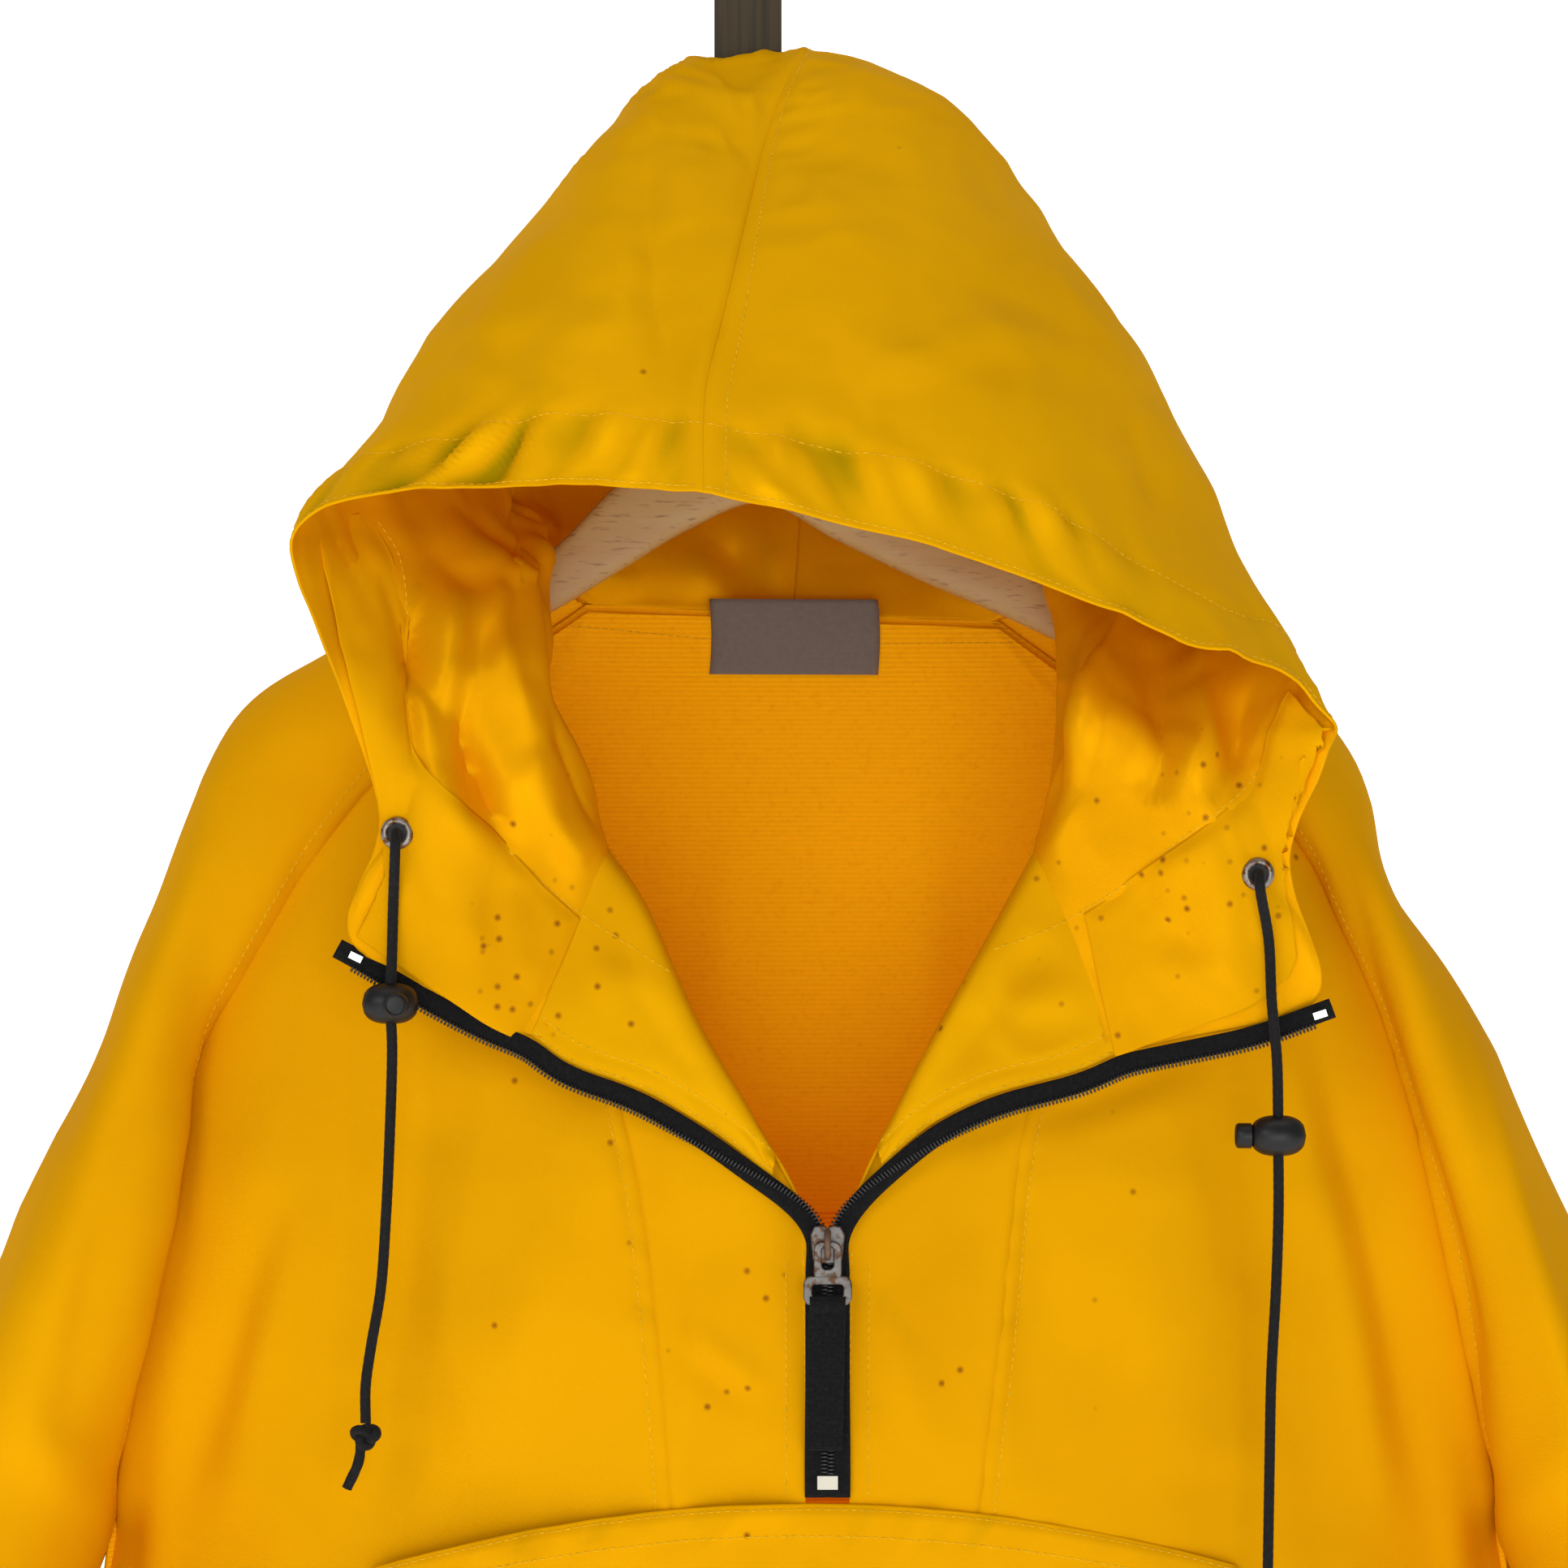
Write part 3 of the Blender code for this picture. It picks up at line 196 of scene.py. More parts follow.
FRONT_RIGHT = (
    ("neck", (130, -391), (100, -322), (106, -303), (112, -255), (90, -238)),
    ("collar", (112, -399), (86, -347), (103, -335), (158, -283), (132, -270)),
    ("chest", (81, -410), (69, -377), (100, -373), (199, -320), (172, -313)),
    ("open", (57, -425), (52, -410), (96, -409), (220, -364), (205, -362)),
    ("slider", (31.5, -454), (35.2, -450), (91, -440), (232, -405), (226, -405)),
    ("closed", (31.5, -500), (35.2, -500), (86, -490), (244, -458), (244, -458)),
    ("zip_end", (31.5, -549), (35.2, -549), (80, -540), (257, -512), (257, -512)),
    ("underarm", (28.2, -585), (28.2, -585), (76, -582), (271, -567), (271, -567)),
    ("waist", (28.2, -650), (28.2, -650), (75, -650), (278, -645), (278, -645)),
    ("pouch", (28.2, -745), (28.2, -745), (74, -745), (284, -745), (284, -745)),
    ("low", (28.2, -842), (28.2, -842), (73, -842), (288, -842), (288, -842)),
    ("hem", (28.2, -934), (28.2, -934), (72, -934), (292, -934), (292, -934)),
)
UNDERARM_ROW = 7
CLOSED_ROW = 5

# How far the turned-back front stands off the chest at the roll and at the zip, row by row
LIFT_ROLL = (16, 14, 12, 8, 3, 0, 0, 0, 0, 0, 0, 0)
LIFT_ZIP = (20, 17, 13, 7, 2, 1, 1, 1, 1, 1, 1, 1)

# Row, shoulder and outer line of the sleeve x y z, its depth in front and behind
SLEEVE_LEFT = (
    ("neck", (-75, 0, -213), 36, 38),
    ("collar", (-112, 0, -231), 43, 42),
    ("chest", (-150, 0, -251), 47, 46),
    ("open", (-182, 0, -273), 50, 48),
    ("slider", (-199, -3, -304), 53, 52),
    ("closed", (-222, -10, -357), 60, 58),
    ("zip_end", (-252, -15, -428), 64, 64),
    ("underarm", (-286, -15, -505), 66, 66),
    ("upper", (-322, -15, -590), 62, 62),
    ("elbow", (-366, -12, -697), 56, 56),
    ("forearm", (-410, -10, -806), 50, 50),
    ("cuff", (-452, -8, -922), 42, 44),
)
SLEEVE_RIGHT = (
    ("neck", (112, 0, -224), 36, 38),
    ("collar", (152, 0, -244), 43, 42),
    ("chest", (190, 0, -265), 47, 46),
    ("open", (220, 0, -294), 50, 48),
    ("slider", (236, -3, -334), 53, 52),
    ("closed", (262, -10, -386), 60, 58),
    ("zip_end", (292, -15, -444), 64, 64),
    ("underarm", (324, -15, -510), 66, 66),
    ("upper", (360, -15, -592), 62, 62),
    ("elbow", (404, -12, -698), 56, 56),
    ("forearm", (448, -10, -806), 50, 50),
    ("cuff", (492, -8, -920), 42, 44),
)

# Inner line of the sleeve below the underarm x y z
INSEAM_LEFT = ((-252, 0, -632), (-285, 0, -740), (-321, 0, -850), (-356, 0, -962))
INSEAM_RIGHT = ((290, 0, -632), (324, 0, -740), (360, 0, -850), (397, 0, -962))
UNDERARM_CLEAR = (0, 0, 0, 0, 0, 0, 0, 0.4, 0, 0, 0, 0)

# Hood sections above the neckline: the front edge, casing, roll, fall, side, rear, centre seam
HOOD_LEFT = (
    ("zip_top", (-133, -100, -353), (-99, -104, -319), (-61, -92, -282), (-70, -62, -257),
     (-70, -13, -207), (-57, 45, -207), (19, 62, -199)),
    ("eyelet", (-124, -106, -311), (-98, -108, -283), (-70, -85, -252), (-80, -50, -222),
     (-85, -5, -196), (-50, 55, -184), (19, 72, -174)),
    ("side", (-137, -116, -262), (-113, -100, -253), (-87, -70, -232), (-86, -35, -207),
     (-77, 8, -186), (-37, 55, -169), (19, 72, -156)),
    ("corner", (-147, -115, -217), (-135, -95, -204), (-118, -65, -190), (-101, -30, -173),
     (-71, 8, -158), (-28, 48, -142), (19, 65, -135)),
    ("brim_low", (-103, -136, -201), (-118, -105, -179), (-113, -65, -150), (-93, -30, -133),
     (-59, 5, -117), (-22, 38, -107), (19, 55, -105)),
    ("brim_mid", (-58, -155, -200), (-66, -140, -171), (-74, -95, -126), (-63, -35, -83),
     (-38, -2, -57), (-10, 22, -53), (19, 34, -66)),
    ("brim_high", (-33, -163, -202), (-38, -148, -169), (-40, -120, -126), (-36, -75, -84),
     (-27, -30, -50), (-12, 4, -35), (19, 20, -42)),
    ("top", (-13, -170, -204), (-13, -150, -171), (-8, -130, -146), (-3, -110, -122),
     (2, -80, -96), (9, -40, -62), (19, 3, -31)),
)
HOOD_RIGHT = (
    ("zip_top", (196, -100, -373), (154, -104, -330), (115, -92, -283), (117, -64, -262),
     (106, -15, -214), (90, 45, -212), (19, 62, -199)),
    ("eyelet", (188, -106, -325), (154, -108, -297), (124, -85, -262), (133, -50, -230),
     (135, -5, -203), (93, 55, -186), (19, 72, -174)),
    ("side", (197, -114, -292), (169, -92, -275), (150, -60, -248), (141, -25, -219),
     (124, 10, -194), (78, 55, -171), (19, 72, -156)),
    ("corner", (197, -114, -277), (184, -95, -249), (169, -65, -221), (150, -30, -195),
     (118, 8, -174), (72, 48, -152), (19, 65, -135)),
    ("brim_low", (146, -140, -252), (160, -105, -226), (150, -65, -179), (135, -32, -150),
     (106, 4, -132), (64, 38, -113), (19, 55, -105)),
    ("brim_mid", (86, -161, -229), (100, -140, -193), (114, -88, -141), (105, -32, -97),
     (82, -4, -69), (48, 22, -59), (19, 34, -66)),
    ("brim_high", (33, -171, -214), (41, -153, -178), (50, -122, -137), (56, -78, -96),
     (59, -30, -58), (41, 4, -40), (19, 20, -42)),
    ("top", (-13, -170, -204), (-13, -150, -171), (-8, -130, -146), (-3, -110, -122),
     (2, -80, -96), (9, -40, -62), (19, 3, -31)),
)

# Folds of the torso: from x z to x z, half width, depth towards the back
FRONT_FOLDS = (
    ((-120, -380), (-150, -560), 24, 5),
    ((-178, -430), (-205, -640), 20, 6),
    ((-70, -440), (-95, -540), 18, -3),
    ((170, -390), (205, -580), 24, 5),
    ((140, -420), (150, -540), 20, -4),
    ((232, -470), (252, -700), 18, 6),
)
BACK_FOLDS = (
    ((-40, -300), (-90, -560), 26, -6),
    ((80, -300), (130, -600), 26, -7),
    ((20, -420), (30, -860), 30, -8),
    ((-150, -480), (-170, -880), 28, -7),
    ((190, -500), (205, -860), 24, -6),
    ((-95, -620), (-80, -900), 22, 5),
)

# Pouch: height, left side x, right side x, then the sag of its top edge, the half width that the
# sag belongs to, and how far it lies before the fronts
POUCH = (
    (-545, -128, 170),
    (-640, -160, 202),
    (-720, -188, 230),
    (-815, -192, 234),
    (-912, -194, 236),
)
POUCH_SAG = 25.0
POUCH_HALF = 150.0
POUCH_OFF = 2.3

# Lining: its first and last body row, and its distance inside the back
LINING_TOP_ROW = 0.08
LINING_ROWS = 5.0
LINING_OFF = 2.4

# Neck label: width and height, and how far it reaches above its place in the frame
LABEL = (62.0, 28.0)
LABEL_RISE = 0.9

# Hanger: x, top edge, bottom edge, then the hook's wire in x and z
HANGER = (
    (-178, -273.0, -288.0),
    (-150, -252.9, -273.0),
    (-112, -232.9, -254.0),
    (-75, -217.0, -238.5),
    (-47, -190.0, -222.0),
    (-22, -172.0, -207.0),
    (5, -165.0, -197.0),
    (32, -174.0, -210.5),
    (60, -192.0, -224.0),
    (88, -211.0, -236.0),
    (112, -226.0, -247.0),
    (152, -246.0, -266.0),
    (190, -267.6, -284.0),
    (206, -280.0, -293.0),
)
HOOK_ROUTE = (
    (5, -166), (5, -142), (6, -126), (11, -112), (18, -99), (22, -86), (20, -75), (12.5, -66),
    (0, -63), (-12.5, -66), (-20, -75), (-22, -86), (-20, -95), (-14, -103),
)

# Cords: x y z from the eyelet to the knot, then the tail's end
CORD_LEFT = (
    (-119, -107.5, -340), (-119.5, -107, -358), (-120, -107, -373), (-119.5, -106, -390),
    (-120.5, -104, -418), (-122, -101, -445), (-124, -98, -470), (-127.5, -96, -490),
    (-129.5, -95, -504), (-129.5, -95, -516.5),
)
TAIL_LEFT = ((-129.5, -95, -523.5), (-132, -94.5, -530), (-136, -94, -539))
CORD_RIGHT = (
    (177, -107.5, -352), (178, -107, -372), (180, -105, -392), (180.5, -104, -410),
    (180.5, -103.4, -418), (180.8, -102.6, -430), (181, -100.5, -446), (180.5, -98, -470),
    (179, -97, -500), (178.5, -96, -530), (178, -95, -568), (177.5, -95, -596),
)
TAIL_RIGHT = ((177.5, -95, -603), (179, -95, -610), (182, -94.5, -618))

# Creases: from x z to x z, half width, height over the cloth, bow to one side
HOOD_CREASES_LEFT = (
    ((-108, -214), (-113, -294), 5, -6.0, 3),
    ((-88, -212), (-70, -284), 7, 6.5, 5),
    ((-95, -262), (-80, -322), 5, -7.0, 3),
    ((-100, -232), (-100, -272), 5, 4.0, 1),
    ((-72, -205), (-84, -232), 5, 5.0, -4),
    ((-104, -292), (-88, -322), 5, 3.5, 2),
    ((-66, -268), (-52, -318), 6, -4.0, -3),
    ((-74, -290), (-50, -338), 5, 3.5, 2),
    ((-32, -82), (-17, -176), 9, -2.8, 5),
    ((-80, -146), (-73, -176), 9, -2.6, 0),
    ((-62, -100), (-98, -168), 8, 2.0, 3),
    ((-40, -60), (-62, -110), 14, 2.6, 4),
    ((-20, -45), (-38, -120), 10, -2.4, 4),
    ((-95, -160), (-60, -180), 9, 2.4, -3),
    ((-70, -120), (-20, -150), 14, -2.0, 4),
)
HOOD_CREASES_RIGHT = (
    ((140, -250), (136, -306), 7, -5.5, -4),
    ((160, -245), (150, -300), 7, 4.5, -3),
    ((124, -240), (112, -300), 6, 5.0, 2),
    ((112, -262), (98, -318), 6, -4.5, 2),
    ((168, -270), (158, -306), 5, -3.5, -2),
    ((36, -170), (108, -144), 9, 3.5, -4),
    ((44, -178), (112, -156), 7, -2.6, -4),
    ((131, -174), (154, -234), 9, -3.0, 3),
    ((60, -130), (118, -150), 10, -2.8, -6),
    ((95, -75), (120, -140), 16, 2.6, -6),
    ((30, -150), (100, -172), 9, 2.2, 3),
    ((40, -60), (58, -130), 14, -2.0, -4),
)
FRONT_CREASES = (
    ((-162, -440), (-198, -560), 9, -4.5, 3),
    ((-150, -440), (-182, -560), 9, 3.5, 3),
    ((-28, -489), (2, -513), 4, -2.2, 1),
    ((-22, -483), (8, -506), 4, 2.0, 1),
    ((-120, -362), (-20, -420), 9, -2.6, 5),
    ((174, -384), (70, -420), 9, -2.6, -5),
    ((196, -380), (240, -560), 8, -4.5, -5),
    ((186, -390), (226, -560), 9, 4.0, -5),
    ((-110, -420), (-92, -540), 9, 2.6, 4),
    ((90, -430), (104, -540), 9, -2.6, 4),
    ((-100, -400), (-130, -540), 18, -3.0, 5),
    ((-60, -430), (-80, -530), 12, 2.0, 3),
    ((-160, -400), (-196, -560), 14, 3.0, 4),
    ((140, -390), (176, -560), 16, 3.0, -5),
    ((190, -390), (226, -540), 14, -3.0, -4),
    ((95, -440), (120, -520), 14, -2.0, 3),
    ((-10, -462), (-22, -530), 7, 1.5, 2),
    ((5, -470), (12, -520), 6, -1.3, 1),
    ((48, -470), (60, -530), 7, 1.4, -2),
    ((-170, -620), (-190, -900), 26, -4.0, 5),
    ((200, -620), (220, -900), 26, -4.0, -5),
)
FACING_CREASES = (
    ((-62, -340), (-30, -385), 8, 1.6, 3),
    ((-45, -350), (-18, -400), 6, -1.4, 2),
    ((120, -345), (84, -390), 8, 1.6, -3),
    ((100, -350), (66, -400), 6, -1.4, -2),
)
POUCH_CREASES = (
    ((-120, -580), (-60, -700), 22, 3.0, 6),
    ((150, -590), (110, -720), 22, 3.0, -6),
    ((0, -600), (20, -880), 26, 2.5, 5),
)
BACK_CREASES = (
    ((-80, -280), (-120, -560), 18, 4.0, 6),
    ((60, -290), (90, -640), 22, -4.0, 6),
    ((140, -320), (170, -640), 16, 4.0, -6),
    ((10, -420), (0, -900), 26, -4.0, 8),
    ((-140, -560), (-170, -900), 20, -4.0, -6),
    ((180, -600), (210, -900), 20, 4.0, 6),
)
LINING_CREASES = (
    ((0, -290), (-12, -420), 12, 3.0, 2),
    ((40, -280), (52, -410), 10, -2.4, 2),
    ((70, -290), (62, -400), 12, 2.6, -2),
    ((-30, -270), (-22, -380), 10, -2.0, 2),
)
LINING_SEAMS = (
    ((-58, -232), (-78, -272), 1.6, 1.6, 0),
    ((90, -240), (118, -272), 1.6, 1.6, 0),
)
SLEEVE_CREASES_LEFT = (
    ((-150, -300), (-230, -520), 16, 4.0, 6),
    ((-190, -300), (-290, -560), 14, -5.0, 8),
    ((-207, -400), (-236, -530), 8, -5.0, 3),
    ((-196, -400), (-222, -540), 8, 4.0, 3),
    ((-240, -420), (-300, -680), 14, 4.5, 6),
    ((-300, -560), (-360, -820), 18, -5.0, 6),
    ((-330, -640), (-420, -880), 16, 4.0, -6),
)
SLEEVE_CREASES_RIGHT = (
    ((204, -305), (268, -590), 7, -6.0, -5),
    ((212, -310), (276, -590), 7, 6.5, -6),
    ((217, -310), (266, -450), 8, -4.0, -5),
    ((232, -340), (292, -560), 9, 5.0, -8),
    ((262, -400), (330, -640), 14, -5.0, -6),
    ((300, -480), (380, -760), 16, 4.5, -6),
    ((350, -620), (430, -880), 18, -5.0, 6),
)

# Patches of rust specks: x z of the centre, radius, share of the places that hold one
STAINS = (
    (-76, -350, 26, 1.0),
    (-50, -372, 40, 0.28),
    (160, -325, 28, 1.0),
    (100, -370, 50, 0.20),
    (10, -500, 60, 0.10),
    (60, -480, 80, 0.03),
    (-5, -545, 60, 0.05),
    (25, -130, 60, 0.02),
    (-80, -120, 50, 0.015),
)

# Where the cloth sags or slides: x z of the place, radius, move across and up
SETTLING = (
    (-74, -374, 34, 0.0, -9.0),
    (122, -388, 30, 0.0, -3.0),
    (26, -44, 22, 4.0, 7.0),
    (112, -118, 26, -6.0, 0.0),
    (228, -330, 55, -6.0, 0.0),
    (-142, -206, 20, -6.0, 1.0),
    (-70, -270, 22, -6.0, 0.0),
    (178, -268, 18, 1.0, 6.0),
)

# The hood's inner facing: the depth from which it is laid on, its outer line along the edge, and
# its sewn inner line
STRIP_FROM = -132.0
STRIP_OUTER_LEFT = ((-142, -213), (-142, -228), (-138, -250), (-131, -274), (-126, -296), (-122, -315),
                    (-122, -329), (-127, -341), (-132, -350), (-121, -357), (-108, -364), (-90, -372),
                    (-76, -378))
STRIP_INNER_LEFT = ((-127, -206), (-121, -220), (-115, -240), (-115, -248), (-116, -263), (-112, -287),
                    (-107, -294), (-100, -301), (-91, -310), (-82, -318), (-70, -331), (-57, -342))
STRIP_OUTER_RIGHT = ((198, -283), (197, -294), (193, -306), (190, -316), (187, -324), (186, -336),
                     (190, -357), (187, -364), (173, -374), (149, -382), (126, -389))
STRIP_INNER_RIGHT = ((185, -272), (179, -283), (175, -296), (168, -304), (159, -311), (145, -321),
                     (131, -331), (122, -339), (116, -343))

# Stitch lines at a fixed distance from a panel's edge
EDGE_STITCHES = (
    ("casing_stitches_left", "hood_cloth_left", "start", CASING_OFF),
    ("casing_stitches_right", "hood_cloth_right", "start", CASING_OFF),
    ("brim_stitches_left", "hood_cloth_left", "start", 2.0),
    ("brim_stitches_right", "hood_cloth_right", "start", 2.0),
    ("crown_stitches", "hood_cloth_right", "bottom", TOPSTITCH_OFF + 1.0),
    ("panel_stitches_left", "front_side_cloth_left", "start", TOPSTITCH_OFF),
    ("panel_stitches_right", "front_side_cloth_right", "start", TOPSTITCH_OFF),
    ("raglan_stitches_left", "sleeve_cloth_left", "start", TOPSTITCH_OFF + 2.0),
    ("raglan_stitches_right", "sleeve_cloth_right", "start", TOPSTITCH_OFF + 2.0),
    ("zip_stitches_left", "front_facing_cloth_left", "end", 1.6),
    ("zip_stitches_right", "front_facing_cloth_right", "end", 1.6),
    ("zip_outer_stitches_left", "front_facing_cloth_left", "end", 7.6),
    ("zip_outer_stitches_right", "front_facing_cloth_right", "end", 7.6),
    ("pouch_edge_stitches", "pouch_cloth", "top", 2.0),
    ("pouch_band_stitches", "pouch_cloth", "top", 11.0),
    ("lining_top_stitches", "lining_cloth", "top", 9.0),
)

# Stitch lines given in x and z, laid on the cloth that shows there
LAID_STITCHES = (
    ("placket_stitches_left", ("front_centre_cloth_left",), ((20, -458), (20.4, -500), (20.6, -543))),
    ("placket_outer_stitches_left", ("front_centre_cloth_left",), ((13.6, -462), (14, -500), (14, -543))),
    ("placket_stitches_right", ("front_centre_cloth_right",), ((36, -458), (35.6, -500), (35.4, -543))),
    ("placket_outer_stitches_right", ("front_centre_cloth_right",), ((42.4, -462), (42, -500), (42, -543))),
    ("facing_stitches_left", ("hood_cloth_left", "front_facing_cloth_left"),
     ((-127, -208), (-119, -221), (-116, -240), (-116, -264), (-114, -280), (-108, -295), (-92, -311),
      (-70, -332), (-57, -343), (-40, -354), (-25, -364))),
    ("facing_stitches_right", ("hood_cloth_right", "front_facing_cloth_right"),
     ((186, -273), (174, -294), (166, -303), (147, -318), (131, -332), (107, -347), (84, -356))),
)


# ---------------------------------------------------------------- the cut of the garment


def spline(points, at):
    """Smooth curve through points, one even span between neighbours; at counts the spans."""
    p = np.asarray(points, float)
    spans = len(p) - 1
    s = np.clip(np.atleast_1d(np.asarray(at, float)), 0.0, spans)
    i = np.minimum(s.astype(int), spans - 1)
    f = (s - i).reshape((-1,) + (1,) * (p.ndim - 1))
    ends = np.concatenate([[2 * p[0] - p[1]], p, [2 * p[-1] - p[-2]]])
    a, b, c, d = ends[i], ends[i + 1], ends[i + 2], ends[i + 3]
    bend = (2 * a - 5 * b + 4 * c - d) * f**2 + (3 * b - a - 3 * c + d) * f**3
    return 0.5 * (2 * b + (c - a) * f + bend)


def column(table, index):
    return [row[index] for row in table]


def run_along(route):
    """Distance of each point of a route from its start."""
    return np.concatenate([[0.0], np.cumsum(np.linalg.norm(np.diff(route, axis=0), axis=1))])


def read_at(at, run, values):
    """Values given along a run, read between its points."""
    return np.stack([np.interp(at, run, values[:, k]) for k in range(values.shape[1])], axis=-1)


def torso(z):
    """Half width, front depth and back depth of the torso at height z."""
    heights = [-row[0] for row in TORSO]
    return [np.interp(-np.asarray(z, float), heights, column(TORSO, k)) for k in (1, 2, 3)]


def bell(distance, width):
    """1 at no distance, and dying away over a width on both sides."""
    return np.exp(-((distance / width) ** 2))


def grown(distance, reach, least=0.0):
    """From 0, or a least share, at no distance to 1 at a reach."""
    return np.clip(distance / reach, least, 1)


def patch_share(x, z, centre_x, centre_z, radius):
    """1 in the middle of a round patch, and dying away over its radius."""
    return np.exp(-(((x - centre_x) ** 2 + (z - centre_z) ** 2) / radius**2))


def from_line(x, z, start, end):
    """Distance of a place from a line, and a bow that is 1 at the line's middle and 0 at its ends."""
    along = np.subtract(end, start).astype(float)
    length = np.hypot(*along)
    along /= length
    run = ((x - start[0]) * along[0] + (z - start[1]) * along[1]) / length
    off = (x - start[0]) * along[1] - (z - start[1]) * along[0]
    return off, 1.0 - (2.0 * run - 1.0) ** 2


def fold_depth(x, z, folds):
    """How far the folds push the cloth back at x, z."""
    total = np.zeros_like(np.asarray(x, float))
    for start, end, half, depth in folds:
        off, bow = from_line(x, z, start, end)
        total = total + depth * np.clip(bow, 0.0, 1.0) * bell(off, half)
    return total


def torso_y(x, z, face, folds):
    """The torso's front (1) or back (2) surface as an ellipse with its folds, measured outwards."""
    widths = torso(z)
    share = np.clip((np.asarray(x, float) - CENTRE_X) / widths[0], -1.0, 1.0)
    round_off = np.sqrt(np.clip(1.0 - share**2, 0.0, 1.0))
    return widths[face] * round_off - fold_depth(x, z, folds) * np.clip(3 * round_off, 0, 1)


def front_y(x, z):
    return -torso_y(x, z, 1, FRONT_FOLDS)


def back_y(x, z):
    return torso_y(x, z, 2, BACK_FOLDS)


def normals_of(grid):
    down, across = np.gradient(grid, axis=0), np.gradient(grid, axis=1)
    normal = np.cross(across, down)
    return normal / np.maximum(np.linalg.norm(normal, axis=2, keepdims=True), 1e-9)


class Side:
    """The seam lines of one half of the body, read at any row."""

    def __init__(self, label, front, sleeve, inseam, hood):
        self.label = label
        self.sign = -1.0 if label == "left" else 1.0
        self.lines = {name: np.array(column(front, k + 1), float) for k, name in enumerate(
            ("zip", "roll", "panel", "front", "back"))}
        self.outer = np.array(column(sleeve, 1), float)
        self.depths = np.array([row[2:4] for row in sleeve], float)
        self.inseam = np.array(inseam, float)
        self.hood = np.array([row[1:] for row in hood], float)

    def line(self, name, row):
        point = spline(self.lines[name], row)[0]
        if name in ("zip", "roll") and row < ZIP_END_ROW:
            middle_side = min if self.label == "left" else max
            point[0] = middle_side(point[0], self.lines[name][CLOSED_ROW][0])
        return point

    def lift(self, table, row):
        return float(spline(np.array(table, float)[:, None], row)[0, 0])


LEFT = Side("left", FRONT_LEFT, SLEEVE_LEFT, INSEAM_LEFT, HOOD_LEFT)
RIGHT = Side("right", FRONT_RIGHT, SLEEVE_RIGHT, INSEAM_RIGHT, HOOD_RIGHT)


def on_front(spot):
    return np.array([spot[0], float(front_y(spot[0], spot[1])), spot[1]])


def on_back(spot):
    return np.array([spot[0], float(back_y(spot[0], spot[1])), spot[1]])


def curl_points(side, row, towards, forward):
    """The quarter of the roll that bends away from its edge, as far as a full quarter turn."""
    edge = side.line("roll", row)
    lift = side.lift(LIFT_ROLL, row)
    reach = max(lift / 2, LEAST_CURL)
    way = towards - edge
    way = way / np.hypot(*way)
    points = []
    for degrees in CURL_STEPS:
        angle = math.radians(degrees)
        spot = edge + way * reach * (1 - math.cos(angle))
        point = on_front(spot)
        turn = math.sin(angle)
        point[1] -= lift / 2 * (1 + turn) if forward else lift / 2 * (1 - turn)
        points.append(point)
    return points


def centre_row(side, row, spans):
    """Front centre panel, from the roll or the zip to the panel's seam."""
    seam = side.line("panel", row)
    points = curl_points(side, row, seam, forward=False)
    start = points[-1][[0, 2]]
    for k in range(1, spans + 1):
        points.append(on_front(start + (seam - start) * k / spans))
    return points


def side_row(side, row, spans):
    """Front side panel, from the panel's seam to the raglan or side seam."""
    start, end = side.line("panel", row), side.line("front", row)
    return [on_front(start + (end - start) * k / spans) for k in range(spans + 1)]


def facing_row(side, row, spans):
    """Turned-back front, from the roll to the inner edge of the zip tape."""
    zip_line = side.line("zip", row)
    points = curl_points(side, row, zip_line, forward=True)
    start = points[-1][[0, 2]]
    way = start - zip_line
    end = zip_line + way / np.hypot(*way) * TAPE_HALF
    roll_lift, zip_lift = side.lift(LIFT_ROLL, row), side.lift(LIFT_ZIP, row)
    for k in range(1, spans + 1):
        point = on_front(start + (end - start) * k / spans)
        point[1] -= roll_lift + (zip_lift - roll_lift) * k / spans
        points.append(point)
    return points


def back_row(row, spans):
    left, right = LEFT.line("back", row), RIGHT.line("back", row)
    return [on_back(left + (right - left) * k / spans) for k in range(spans + 1)]


BODY_ROWS = [k / 4 for k in range(4 * (len(FRONT_LEFT) - 1) + 1)]


def cap_angle(depth, offset):
    """Angle of the seam on the sleeve's ellipse, past a quarter turn once the ellipse is deeper."""
    return math.pi - math.asin(min(1.0, abs(offset) / depth))


def sleeve_row(side, row, spans):
    """A section of the sleeve, from its front seam over the outer line to its back seam."""
    outer = spline(side.outer, row)[0]
    depths = spline(side.depths, row)[0]
    if row <= UNDERARM_ROW:
        front, back = on_front(side.line("front", row)), on_back(side.line("back", row))
    else:
        start = on_front(side.line("front", UNDERARM_ROW))
        front = back = spline(np.vstack([start, side.inseam]), row - UNDERARM_ROW)[0]
    clear = side.lift(UNDERARM_CLEAR, row) if row <= UNDERARM_ROW else 0.4 * max(0, 8 - row)
    points = []
    half = spans // 2
    for seam, depth, way in ((front, depths[0], -1.0), (back, depths[1], 1.0)):
        seam = seam + np.array([side.sign * clear, 0.0, 0.0])
        offset = (seam[1] - outer[1]) * way
        depth = max(depth, offset + 0.01)
        angle = cap_angle(depth, offset) if offset > 0 else math.pi
        reach = (outer - seam) / (1 - math.cos(angle))
        arc = []
        for k in range(half + 1):
            turn = angle * (1 - k / half)
            point = outer - reach * (1 - math.cos(turn))
            point[1] = outer[1] + way * depth * math.sin(turn)
            if offset <= 0:
                point[1] += (seam[1] - outer[1]) * (1 - k / half) ** 2
            arc.append(point)
        points.append(arc)
    return points[0] + points[1][-2::-1]


